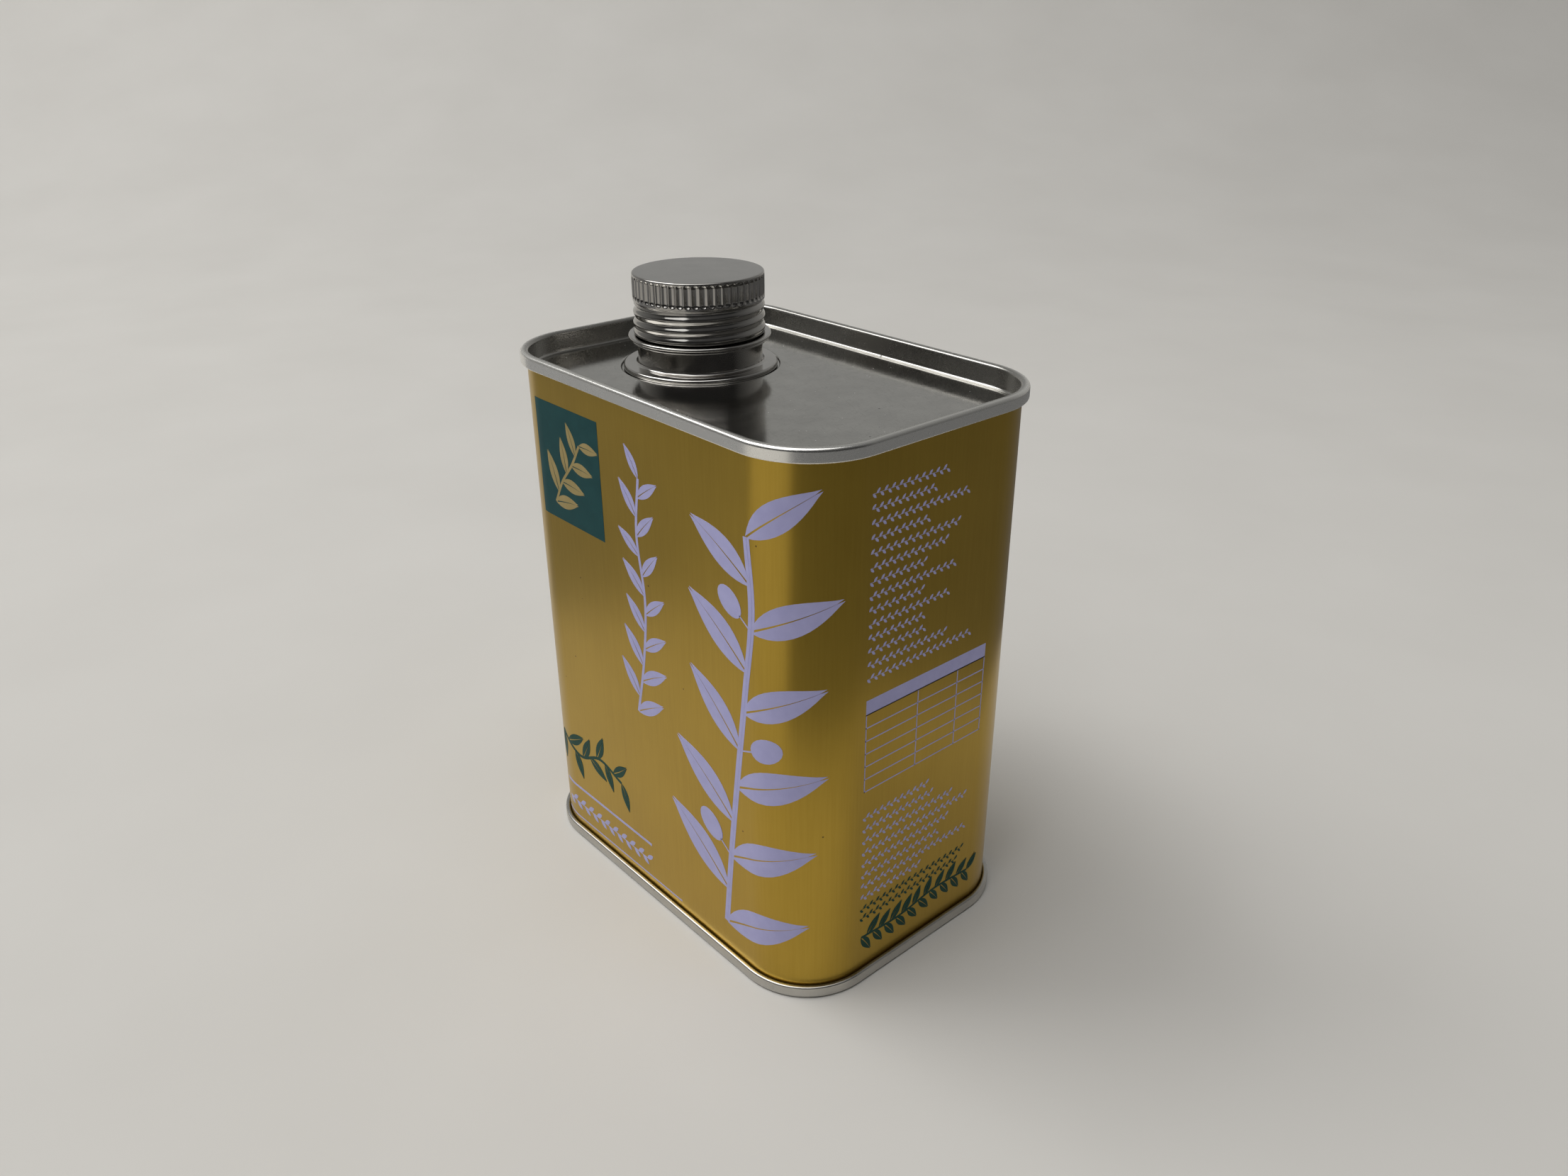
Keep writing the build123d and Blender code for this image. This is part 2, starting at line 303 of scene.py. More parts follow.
class Nodes:
    """Short calls for adding and joining nodes in one tree."""

    def __init__(self, tree):
        self.tree = tree

    def set(self, socket, value):
        """Join a socket to another one, or give it a value. A colour is written without its alpha."""
        if isinstance(value, bpy.types.NodeSocket):
            self.tree.links.new(value, socket)
        elif socket.type == "RGBA":
            socket.default_value = (*value, 1.0)
        else:
            socket.default_value = value

    def fill(self, node, values):
        for key, value in values.items():
            self.set(node.inputs[key], value)

    def add(self, kind, inputs=None, **settings):
        node = self.tree.nodes.new(kind)
        for key, value in settings.items():
            setattr(node, key, value)
        self.fill(node, inputs or {})
        return node

    def group(self, tree, **inputs):
        """A group's node, with its inputs by name, underscores for spaces."""
        named = {key.replace("_", " "): value for key, value in inputs.items()}
        return self.add("ShaderNodeGroup", named, node_tree=tree)

    def math(self, operation, a, b=0.0, clamp=False):
        return self.add("ShaderNodeMath", {0: a, 1: b}, operation=operation, use_clamp=clamp).outputs[0]

    def plus(self, a, b):
        return self.math("ADD", a, b)

    def minus(self, a, b):
        return self.math("SUBTRACT", a, b)

    def times(self, a, b):
        return self.math("MULTIPLY", a, b)

    def over(self, a, b):
        return self.math("DIVIDE", a, b)

    def larger(self, a, b):
        return self.math("MAXIMUM", a, b)

    def mix(self, share, a, b):
        """Colour a where share is 0 and b where it is 1, through the colour sockets of a mix node."""
        return self.add("ShaderNodeMix", {0: share, 6: a, 7: b}, data_type="RGBA").outputs[2]

    def range(self, value, low, high, to_low=0.0, to_high=1.0, blend="LINEAR"):
        inputs = {"Value": value, "From Min": low, "From Max": high, "To Min": to_low, "To Max": to_high}
        return self.add("ShaderNodeMapRange", inputs, clamp=True, interpolation_type=blend).outputs[0]

    def noise(self, vector, scale, detail):
        inputs = {"Vector": vector, "Scale": scale, "Detail": detail}
        return self.add("ShaderNodeTexNoise", inputs).outputs[0]

    def split(self, vector):
        return self.add("ShaderNodeSeparateXYZ", {0: vector}).outputs

    def vector(self, *parts):
        return self.add("ShaderNodeCombineXYZ", dict(enumerate(parts))).outputs[0]


def open_group(name, kind, inputs, outputs):
    """A node group with inputs {name: socket type or default number} and outputs {name: socket type}."""
    tree = bpy.data.node_groups.new(name, kind)
    for key, given in inputs.items():
        is_type = isinstance(given, str)
        socket = given if is_type else INTEGER if isinstance(given, int) else FLOAT
        item = tree.interface.new_socket(key, in_out="INPUT", socket_type=socket)
        if not is_type:
            item.default_value = given
    for key, socket in outputs.items():
        tree.interface.new_socket(key, in_out="OUTPUT", socket_type=socket)
    n = Nodes(tree)
    start = n.add("NodeGroupInput")
    end = n.add("NodeGroupOutput")
    return tree, n, start.outputs, end.inputs


def make_scratch_group():
    """Fine straight scratches in three directions over a surface."""
    turns = (0.4, 1.35, 2.6)
    contrast = 9.0
    tree, n, given, out = open_group(
        "Fine scratches", "ShaderNodeTree",
        {"Vector": VECTOR, "Scale": 400.0, "Stretch": 30.0, "Rarity": 0.62},
        {"Mask": FLOAT},
    )
    masks = []
    for turn in turns:
        turned = n.add("ShaderNodeMapping", {"Vector": given["Vector"], "Rotation": (0, 0, turn)})
        x, y, z = n.split(turned.outputs[0])
        long = n.vector(n.over(x, given["Stretch"]), y, z)
        above = n.minus(n.noise(long, given["Scale"], detail=2.0), given["Rarity"])
        masks.append(n.math("MULTIPLY", above, contrast, clamp=True))
    n.set(out["Mask"], n.larger(n.larger(masks[0], masks[1]), masks[2]))
    return tree


def make_speck_group():
    """Scattered small specks of dust."""
    tree, n, given, out = open_group(
        "Dust specks", "ShaderNodeTree",
        {"Vector": VECTOR, "Scale": 900.0, "Size": 0.16, "Rarity": 0.93},
        {"Mask": FLOAT},
    )
    cells = n.add("ShaderNodeTexVoronoi", {"Vector": given["Vector"], "Scale": given["Scale"]})
    tint = n.add("ShaderNodeSeparateColor", {"Color": cells.outputs["Color"]})
    near = n.math("LESS_THAN", cells.outputs["Distance"], given["Size"])
    chosen = n.math("GREATER_THAN", tint.outputs[0], given["Rarity"])
    n.set(out["Mask"], n.times(near, chosen))
    return tree


def make_wave_group():
    """Slow unevenness of thin sheet with a fine grain on it, as a height, and a mottle."""
    mottle_fineness = 4.0
    tree, n, given, out = open_group(
        "Sheet waves", "ShaderNodeTree",
        {"Vector": VECTOR, "Scale": 30.0, "Grain Scale": 1500.0, "Grain Share": 0.05},
        {"Height": FLOAT, "Mottle": FLOAT},
    )
    slow = n.noise(given["Vector"], given["Scale"], detail=1.0)
    fine = n.noise(given["Vector"], given["Grain Scale"], detail=3.0)
    n.set(out["Height"], n.plus(slow, n.times(fine, given["Grain Share"])))
    n.set(out["Mottle"], n.noise(given["Vector"], n.times(given["Scale"], mottle_fineness), detail=4.0))
    return tree


SCRATCHES = make_scratch_group()
SPECKS = make_speck_group()
WAVES = make_wave_group()


# Materials

# Colours are linear red, green and blue
LIGHT_PANEL, DARK_PANEL = (0.48, 0.47, 0.44), (0.415, 0.405, 0.38)
LIGHT_SEAM, DARK_SEAM = (0.56, 0.545, 0.51), (0.49, 0.48, 0.45)
LIGHT_NECK, DARK_NECK = (0.49, 0.475, 0.45), (0.43, 0.415, 0.395)
LIGHT_CAP, DARK_CAP = (0.40, 0.385, 0.365), (0.345, 0.335, 0.315)
# The rim's inner wall is painted darker as shade, and its outer face lighter as a painted reflection of the
# bright floor
SHADED_RIM_INSIDE = (0.38, 0.37, 0.345)
LIT_RIM_OUTSIDE = (0.84, 0.825, 0.785)
WORN_TIN = (0.28, 0.275, 0.255)
BARE_TIN = (0.55, 0.54, 0.51)
PALE_DUST = (0.42, 0.41, 0.39)
DARK_GRIT = (0.09, 0.085, 0.08)
DEEP_GOLD, BRIGHT_GOLD = (0.45, 0.292, 0.045), (0.50, 0.326, 0.05)
STREAK_GOLD = (0.55, 0.366, 0.062)
GOLD_SPECK = (0.16, 0.10, 0.03)

# Spans of a noise's values that are spread over a mask or a mottle
NARROW = (0.35, 0.7)
MIDDLE = (0.3, 0.7)
WIDE = (0.3, 0.75)

# Where the rim's finish and painted shade start above the panel, and the outer face's painted reflection past
# the wall
RIM_FADE = (0.1 * MM, 0.8 * MM)
LIT_OUTSIDE_FADE = (0.1 * MM, 0.7 * MM)


def open_material(name):
    """A new material, its nodes, its shader and the place on the piece that its patterns follow."""
    material = bpy.data.materials.new(name)
    material.use_nodes = True
    n = Nodes(material.node_tree)
    shader = material.node_tree.nodes["Principled BSDF"]
    place = n.add("ShaderNodeTexCoord").outputs["Object"]
    return material, n, shader, place


def bump(n, shader, height, distance):
    """Raise the surface by a height from 0 to 1, times a distance."""
    node = n.add("ShaderNodeBump", {"Height": height, "Distance": distance, "Strength": 1.0})
    n.set(shader.inputs["Normal"], node.outputs[0])


def rim_and_lit_outside_masks(n, place):
    """Masks of the rim that stands over the sunk panel, for its finish and painted shade, and of what lies
    outside the wall, for a painted reflection.
    """
    x, y, z = n.split(place)
    rim = n.range(z, panel_top + RIM_FADE[0], panel_top + RIM_FADE[1])
    past_x = n.larger(n.minus(n.math("ABSOLUTE", x), flat_half_width), 0.0)
    past_y = n.larger(n.minus(n.math("ABSOLUTE", y), flat_half_depth), 0.0)
    reach = n.math("SQRT", n.plus(n.math("POWER", past_x, 2.0), n.math("POWER", past_y, 2.0)))
    return rim, n.range(reach, CORNER + LIT_OUTSIDE_FADE[0], CORNER + LIT_OUTSIDE_FADE[1])


def dust_panel_and_shade_rim(n, place, scratches, base, rough):
    """Wear, dust and grit on the sunk panel, and a plainer rim with painted shade on its inner wall and a
    painted reflection of the floor on its outer face: colour, roughness and metal.
    """
    wear_share, spot_roughness, rim_roughness, spot_dullness = 0.4, 0.3, 0.13, 0.8
    rim, outside = rim_and_lit_outside_masks(n, place)
    flat = n.minus(1.0, rim)
    dust = n.group(SPECKS, Vector=place, Scale=1100.0, Size=0.13, Rarity=0.95)
    grit = n.group(SPECKS, Vector=place, Scale=420.0, Size=0.09, Rarity=0.92)
    dusty = n.times(dust.outputs[0], flat)
    gritty = n.times(grit.outputs[0], flat)
    spots = n.larger(dusty, gritty)
    base = n.mix(n.times(scratches, n.times(flat, wear_share)), base, WORN_TIN)
    base = n.mix(dusty, base, PALE_DUST)
    base = n.mix(gritty, base, DARK_GRIT)
    # Painted shade on the rim's inner wall, and a painted reflection of the floor on its outer face
    base = n.mix(rim, base, n.mix(outside, SHADED_RIM_INSIDE, LIT_RIM_OUTSIDE))
    rough = n.plus(n.plus(rough, n.times(spots, spot_roughness)), n.times(rim, rim_roughness))
    metal = n.minus(1.0, n.times(spots, spot_dullness))
    return base, rough, metal


def make_tin_metal(name, light, dark, roughness, grain, wave=0.012 * MM, wear=0.06, dusty=False):
    """Bare bright tinplate: a warm grey metal with scratches and mottling, dusty where it lies flat, with
    painted shade on the rim's inner wall and a painted reflection on its outer face.
    """
    spread = 0.15
    material, n, shader, place = open_material(name)
    waves = n.group(WAVES, Vector=place, Scale=45.0, Grain_Scale=2600.0, Grain_Share=grain)
    scratches = n.group(SCRATCHES, Vector=place, Scale=4200.0, Stretch=8.0, Rarity=0.6).outputs[0]
    mottle = waves.outputs["Mottle"]
    base = n.mix(n.range(mottle, *NARROW), dark, light)
    rough = n.range(mottle, *WIDE, roughness * (1 - spread), roughness * (1 + spread))
    rough = n.plus(rough, n.times(scratches, wear))
    metal = 1.0
    if dusty:
        base, rough, metal = dust_panel_and_shade_rim(n, place, scratches, base, rough)
    n.fill(shader, {"Base Color": base, "Roughness": rough, "Metallic": metal})
    bump(n, shader, waves.outputs["Height"], wave)
    return material


def make_gold_lacquer():
    """Gold metallic lacquer over tinplate, with a bare strip along the weld at the back."""
    rolling_stretch, rolled_height, streak_share = 0.03, 0.003, 0.4
    smooth, dull, scratched, bare_gain = 0.28, 0.30, 0.015, 0.1
    material, n, shader, place = open_material("gold_lacquer")
    waves = n.group(WAVES, Vector=place, Scale=14.0, Grain_Scale=2400.0, Grain_Share=0.004)
    scratches = n.group(SCRATCHES, Vector=place, Scale=1700.0, Stretch=14.0, Rarity=0.68)
    specks = n.group(SPECKS, Vector=place, Scale=420.0, Size=0.08, Rarity=0.96)
    upright = n.add("ShaderNodeMapping", {"Vector": place, "Scale": (1.0, 1.0, rolling_stretch)})
    rolled = n.noise(upright.outputs[0], scale=2400.0, detail=3.0)
    gold = n.mix(n.range(waves.outputs["Mottle"], *WIDE), DEEP_GOLD, BRIGHT_GOLD)
    gold = n.mix(n.range(rolled, *WIDE, 0.0, streak_share), gold, STREAK_GOLD)
    gold = n.mix(specks.outputs[0], gold, GOLD_SPECK)
    x, y, _ = n.split(place)
    back = n.math("GREATER_THAN", y, flat_half_depth)
    strip = n.times(back, n.math("LESS_THAN", n.math("ABSOLUTE", x), BARE_MARGIN))
    rough = n.plus(n.range(rolled, *WIDE, smooth, dull), n.times(scratches.outputs[0], scratched))
    n.fill(shader, {
        "Base Color": n.mix(strip, gold, BARE_TIN),
        "Roughness": n.minus(rough, n.times(strip, bare_gain)),
        "Metallic": 0.95,
    })
    bump(n, shader, n.plus(waves.outputs["Height"], n.times(rolled, rolled_height)), 0.1 * MM)
    return material


def mottle_surface(n, shader, waves, dark, light, span, height):
    """Spread a surface between two colours by the mottle of its waves, and raise it by their height."""
    n.set(shader.inputs["Base Color"], n.mix(n.range(waves.outputs["Mottle"], *span), dark, light))
    bump(n, shader, waves.outputs["Height"], height)


def make_ink(name, dark, light, roughness, metallic=0.0, gloss=0.3):
    """Screened ink on the lacquer: even, with a faint mottle."""
    spread = 0.08
    material, n, shader, place = open_material(name)
    waves = n.group(WAVES, Vector=place, Scale=120.0, Grain_Scale=4000.0, Grain_Share=0.2)
    mottle_surface(n, shader, waves, dark, light, NARROW, 0.004 * MM)
    rough = n.range(waves.outputs["Mottle"], *MIDDLE, roughness, roughness + spread)
    n.fill(shader, {"Roughness": rough, "Metallic": metallic, "Specular IOR Level": gloss})
    return material


def make_polymer(name, colour, roughness, grain_scale):
    """Moulded or foamed plastic with a fine grain."""
    shade, spread = 0.88, 0.1
    material, n, shader, place = open_material(name)
    waves = n.group(WAVES, Vector=place, Scale=90.0, Grain_Scale=grain_scale, Grain_Share=0.3)
    darker = tuple(shade * c for c in colour)
    mottle_surface(n, shader, waves, darker, colour, MIDDLE, 0.01 * MM)
    mottle = waves.outputs["Mottle"]
    n.set(shader.inputs["Roughness"], n.range(mottle, *MIDDLE, roughness, roughness + spread))
    return material


GOLD = make_gold_lacquer()
# The panel's metal also paints shade on the rim's inner wall and a reflection on its outer face
PANEL_METAL = make_tin_metal(
    "panel_tinplate", LIGHT_PANEL, DARK_PANEL, 0.125, grain=0.012, wave=0.006 * MM, wear=0.03, dusty=True
)
SEAM_METAL = make_tin_metal("seam_tinplate", LIGHT_SEAM, DARK_SEAM, 0.3, grain=0.012)
NECK_METAL = make_tin_metal("neck_tinplate", LIGHT_NECK, DARK_NECK, 0.1, grain=0.004, wear=0.02)
CAP_METAL = make_tin_metal("cap_tinplate", LIGHT_CAP, DARK_CAP, 0.12, grain=0.004, wear=0.03)
LAVENDER = make_ink("lavender_ink", (0.46, 0.455, 0.77), (0.50, 0.495, 0.81), 0.42)
TEAL = make_ink("teal_ink", (0.010, 0.062, 0.066), (0.014, 0.074, 0.078), 0.3, gloss=0.12)
GREEN = make_ink("green_ink", (0.008, 0.055, 0.04), (0.012, 0.07, 0.05), 0.35, gloss=0.12)
PALE_GOLD = make_ink("pale_gold_ink", (0.52, 0.40, 0.16), (0.58, 0.45, 0.2), 0.35, metallic=0.6)
COMPOUND = make_polymer("seam_compound", (0.35, 0.35, 0.33), 0.6, 2500.0)
INSERT = make_polymer("insert_plastic", (0.82, 0.82, 0.8), 0.35, 2500.0)
FOAM = make_polymer("liner_foam", (0.8, 0.8, 0.78), 0.6, 6000.0)


# Sheet pieces of the can

def make_body_wall():
    """The can's wall with its two hooks, and the welded lap down the back."""
    bm = bmesh.new()
    outline = bent_sheet(
        [
            (body_hook, body_hook_tip),
            (body_hook, body_hook_top),
            (-SHEET / 2, body_hook_top),
            (-SHEET / 2, rim_top - body_hook_top),
            (body_hook, rim_top - body_hook_top),
            (body_hook, rim_top - body_hook_tip),
        ],
        [HOOK_BEND] * 4,
        SHEET,
        steps=4,
    )
    round_the_can(bm, outline)
    low = SEAM_HEIGHT + LAP_END_GAP
    side = LAP_WIDTH / 2
    root = half_depth - SHEET / 2
    face = half_depth + LAP_RISE
    shoulder = face - LAP_RISE / 2
    section = [(-side, root), (-side, shoulder), (-side + LAP_RISE, face),
               (side - LAP_RISE, face), (side, shoulder), (side, root)]
    rings = [[(x, y, z) for x, y in section] for z in (low, rim_top - low)]
    for end in add_rings(bm, rings, False):
        bm.faces.new(end)
    finish_piece(bm, "body_wall", "root", GOLD, "can_body")


def end_rim_outline():
    """Open outline of the top end's rim, from the panel's upper face round to its lower face."""
    return bent_sheet(
        [
            (chuck_wall - PANEL_BEND - PANEL_FOOT, panel_top - SHEET / 2),
            (chuck_wall, panel_top - SHEET / 2),
            (chuck_wall, seam_top),
            (seam_wall, seam_top),
            (seam_wall, seam_foot),
            (end_hook, seam_foot),
            (end_hook, end_hook_tip),
        ],
        [PANEL_BEND, SEAM_TOP_BEND, SEAM_TOP_BEND, HOOK_BEND, HOOK_BEND],
        SHEET,
        steps=9,
    )


def fill_between(bm, outer, inner):
    """Fill a flat face inside an outer ring of points, leaving out an inner ring."""
    edges = []
    for ring in (outer, inner):
        for i in range(len(ring)):
            pair = (ring[i], ring[(i + 1) % len(ring)])
            edges.append(bm.edges.get(pair) or bm.edges.new(pair))
    bmesh.ops.triangle_fill(bm, edges=edges, use_beauty=True)


def make_top_end():
    """Sunk end panel with its rim, and the round seat and collar for the neck."""
    bm = bmesh.new()
    rim = round_the_can(bm, end_rim_outline(), close=False)
    collar = STEM_RADIUS - NECK_SHEET - COLLAR_GAP - SHEET / 2
    middle = (bead_bottom + bead_top) / 2
    outline = bent_sheet(
        [
            (seat_radius + SHEET / 2 + SEAT_FOOT, panel_top - SHEET / 2),
            (seat_radius + SHEET / 2, panel_top - SHEET / 2),
            (seat_radius + SHEET / 2, seat_floor - SHEET / 2),
            (collar, seat_floor - SHEET / 2),
            (collar, middle),
            (BEAD_RADIUS - NECK_SHEET - COLLAR_TIP_GAP, middle),
        ],
        [SEAT_BEND, SEAT_BEND, COLLAR_BEND, COLLAR_TIP_BEND],
        SHEET,
        steps=6,
    )
    seat = round_the_neck(bm, outline, SEAT_SEGMENTS, close=False)
    for end in (min, max):
        outer = end((rim[0], rim[-1]), key=lambda ring: ring[0].co.z)
        inner = end((seat[0], seat[-1]), key=lambda ring: ring[0].co.z)
        fill_between(bm, outer, inner)
    finish_piece(bm, "sunk_top_end", "root", PANEL_METAL, "top_end")


def make_bottom_end():
    """The same pressing turned over, without the seat."""
    bm = bmesh.new()
    outline = [(out, rim_top - height) for out, height in end_rim_outline()]
    rim = round_the_can(bm, outline, close=False)
    for ring in (rim[0], rim[-1]):
        bm.faces.new(ring)
    finish_piece(bm, "sunk_bottom_end", "root", SEAM_METAL, "bottom_end")


# Geometry node trees for the thread and the flutes

def open_geometry_tree(name, inputs):
    """A tree with a geometry in and out, a material, and its own named inputs."""
    inputs = {"Geometry": GEOMETRY, **inputs, "Material": MATERIAL}
    return open_group(name, "GeometryNodeTree", inputs, {"Geometry": GEOMETRY})


def finish_tree(n, given, out, geometry):
    """Every tree ends by making its copies real and giving them the material."""
    whole = n.add("GeometryNodeRealizeInstances", {0: geometry})
    dressed = n.add("GeometryNodeSetMaterial", {"Geometry": whole.outputs[0], "Material": given["Material"]})
    n.set(out["Geometry"], dressed.outputs[0])


def mark(n, name):
    """A number that each ring of the mesh carries."""
    return n.add("GeometryNodeInputNamedAttribute", {"Name": name}, data_type="FLOAT").outputs[0]


def azimuth_and_height(n, given):
    """Where each point stands round the neck's axis, and how high."""
    x, y, z = n.split(n.add("GeometryNodeInputPosition").outputs[0])
    return n.math("ARCTAN2", y, n.minus(x, given["Axis X"])), z


def push_outwards(n, given, out, azimuth, push):
    """Move each point away from the neck's axis, and finish the tree."""
    shift = n.vector(n.times(push, n.math("COSINE", azimuth)), n.times(push, n.math("SINE", azimuth)))
    moved = n.add("GeometryNodeSetPosition", {"Geometry": given["Geometry"], "Offset": shift})
    finish_tree(n, given, out, moved.outputs[0])


def make_thread_tree():
    """Push a surface in or out along a screw thread, fading at both ends, and along a plain groove."""
    tree, n, given, out = open_geometry_tree("Rolled thread", {
        "Axis X": 0.0,
        "Pitch": THREAD_PITCH,
        "Start Height": 0.0,
        "Start Azimuth": 0.0,
        "Depth": THREAD_RISE,
        "Fade In From": 0.0,
        "Fade In To": 0.0,
        "Fade Out From": 0.0,
        "Fade Out To": 0.0,
    })
    azimuth, height = azimuth_and_height(n, given)
    turned = n.over(n.minus(azimuth, given["Start Azimuth"]), 2 * math.pi)
    climbed = n.over(n.minus(height, given["Start Height"]), given["Pitch"])
    phase = n.times(n.minus(climbed, turned), 2 * math.pi)
    wave = n.times(n.plus(n.math("COSINE", phase), 1.0), 0.5)
    rising = n.range(height, given["Fade In From"], given["Fade In To"], blend="SMOOTHSTEP")
    falling = n.range(height, given["Fade Out To"], given["Fade Out From"], blend="SMOOTHSTEP")
    wave = n.times(n.times(wave, rising), falling)
    depth = n.larger(n.times(wave, mark(n, "threaded")), mark(n, "groove"))
    push_outwards(n, given, out, azimuth, n.times(depth, given["Depth"]))
    return tree


def make_flute_tree():
    """Press upright flutes with rounded ends into a round grip, as a ball-ended tool does."""
    tree, n, given, out = open_geometry_tree("Pressed flutes", {
        "Axis X": 0.0,
        "Radius": grip_radius,
        "Count": float(FLUTES),
        "Tool Radius": FLUTE_TOOL,
        "Depth": FLUTE_DEPTH,
        "Middle Height": 0.0,
        "Straight Half": FLUTE_LENGTH / 2,
    })
    azimuth, height = azimuth_and_height(n, given)
    share = n.times(n.over(azimuth, 2 * math.pi), given["Count"])
    offset = n.minus(n.math("FRACT", n.plus(share, 0.5)), 0.5)
    across = n.times(offset, n.over(n.times(given["Radius"], 2 * math.pi), given["Count"]))
    along = n.math("ABSOLUTE", n.minus(height, given["Middle Height"]))
    past = n.larger(n.minus(along, given["Straight Half"]), 0.0)
    square = n.plus(n.times(across, across), n.times(past, past))
    tool = n.times(given["Tool Radius"], given["Tool Radius"])
    reach = n.math("SQRT", n.larger(n.minus(tool, square), 0.0))
    press = n.larger(n.minus(reach, n.minus(given["Tool Radius"], given["Depth"])), 0.0)
    push_outwards(n, given, out, azimuth, n.times(n.times(press, mark(n, "grip")), -1.0))
    return tree


def run_trees(mesh, name, *runs):
    """Run geometry node trees on a mesh, one after another, and return the plain mesh."""
    maker = add_object(name + "_maker", mesh)
    for tree, inputs in runs:
        modifier = maker.modifiers.new(tree.name, "NODES")
        modifier.node_group = tree
        sockets = {item.name: item.identifier for item in tree.interface.items_tree if item.in_out == "INPUT"}
        for key, value in inputs.items():
            modifier[sockets[key]] = value
    depsgraph = bpy.context.evaluated_depsgraph_get()
    made = bpy.data.meshes.new_from_object(maker.evaluated_get(depsgraph))
    made.name = name
    maker.modifiers.clear()
    bpy.data.objects.remove(maker)
    return made


THREAD = make_thread_tree()
FLUTE = make_flute_tree()


# Turned pieces: neck, cap, seals and insert

def ring_mesh(outline, marks, segments, close=True):
    """A mesh round the neck's axis, whose rings carry the named marks {name: [value of each ring]}."""
    bm = bmesh.new()
    layers = {key: bm.verts.layers.float.new(key) for key in marks}
    rings = round_the_neck(bm, outline, segments, close)
    for i, ring in enumerate(rings):
        for key, layer in layers.items():
            for vertex in ring:
                vertex[layer] = marks[key][i]
    return to_mesh(bm, "rings")


def steps_between(a, b, step):
    """Points from a to b, about a step apart, without b."""
    count = max(1, round((Vector(b) - Vector(a)).length / step))
    return [tuple(Vector(a).lerp(Vector(b), k / count)) for k in range(count)]


def dense(line, step):
    """A line with points about a step apart."""
    points = []
    for a, b in zip(line, line[1:]):
        points += steps_between(a, b, step)
    return points + [line[-1]]


def bead_rings():
    """Outline of the folded bead from its top to its underside: a wide ring over a narrower one."""
    points = []
    for radius, height, bend in (
        (BEAD_RADIUS - UPPER_RING_ROUND, bead_top - UPPER_RING_ROUND, UPPER_RING_ROUND),
        (LOWER_RING_RADIUS - LOWER_RING_ROUND, bead_bottom + LOWER_RING_ROUND, LOWER_RING_ROUND),
    ):
        for k in range(BEAD_STEPS + 1):
            angle = math.radians(90 - 180 * k / BEAD_STEPS)
            points.append((radius + bend * math.cos(angle), height + bend * math.sin(angle)))
    upper, lower = points[:BEAD_STEPS + 1], points[BEAD_STEPS + 1:]
    groove_height = (upper[-1][1] + lower[0][1]) / 2
    return upper + [(RING_GROOVE_RADIUS, groove_height)] + lower


def thread_run(azimuth, depth, fade_in, fade_out, material):
    """The thread tree and its inputs; the fades are pairs of heights."""
    return THREAD, {
        "Axis X": neck_x,
        "Pitch": THREAD_PITCH,
        "Start Height": roll_start,
        "Start Azimuth": azimuth,
        "Depth": depth,
        "Fade In From": fade_in[0],
        "Fade In To": fade_in[1],
        "Fade Out From": fade_out[0],
        "Fade Out To": fade_out[1],
        "Material": material,
    }


def make_neck():
    """Flange with its lip, stem, folded bead and threaded mouth, spun from one sheet."""
    half = NECK_SHEET / 2
    sheet = bent_sheet(
        [
            (flange_radius - half, flange_bottom + NECK_SHEET - FLANGE_LIP),
            (flange_radius - half, flange_bottom + half),
            (STEM_RADIUS - half, flange_bottom + half),
            (STEM_RADIUS - half, bead_bottom + half),
            (BEAD_RADIUS - half, bead_bottom + half),
            (BEAD_RADIUS - half, bead_top - half),
            (MOUTH_RADIUS - half, bead_top - half),
            (MOUTH_RADIUS - half, mouth_top),
        ],
        [FLANGE_LIP_BEND, FOOT_BEND, BEAD_ROOT, BEAD_ROUND, BEAD_ROUND, BEAD_ROOT],
        NECK_SHEET,
        steps=10,
    )
    sheet = [tuple(p) for p in sheet]
    inner_limit = RING_GROOVE_RADIUS - half
    inside = [(min(r, inner_limit) if z > bead_bottom else r, z) for r, z in sheet[:len(sheet) // 2]]
    outside = sheet[len(sheet) // 2:]
    above = [(r, z) for r, z in outside if z > bead_top - half and r < inner_limit]
    below = [
        (r, z) for r, z in outside
        if z < bead_bottom - half or (z < bead_bottom + half and r < inner_limit)
    ]
    outline = dense(inside, SHEET_STEP) + dense(above, THREAD_STEP) + bead_rings() + dense(below, SHEET_STEP)
    marks = {
        "threaded": [float(abs(r - MOUTH_RADIUS) < SAME_RADIUS) for r, z in outline],
        "groove": [0.0] * len(outline),
    }
    fade_in = (roll_start - 0.5 * THREAD_PITCH, roll_start)
    fade_out = (grip_bottom - 0.7 * THREAD_PITCH, grip_bottom - 0.3 * THREAD_PITCH)
    mesh = run_trees(
        ring_mesh(outline, marks, NECK_SEGMENTS),
        "neck",
        thread_run(THREAD_AZIMUTH + math.pi, THREAD_RISE, fade_in, fade_out, NECK_METAL),
    )
    place_piece(mesh, "beaded_neck", "root", NECK_METAL, "neck_spout")


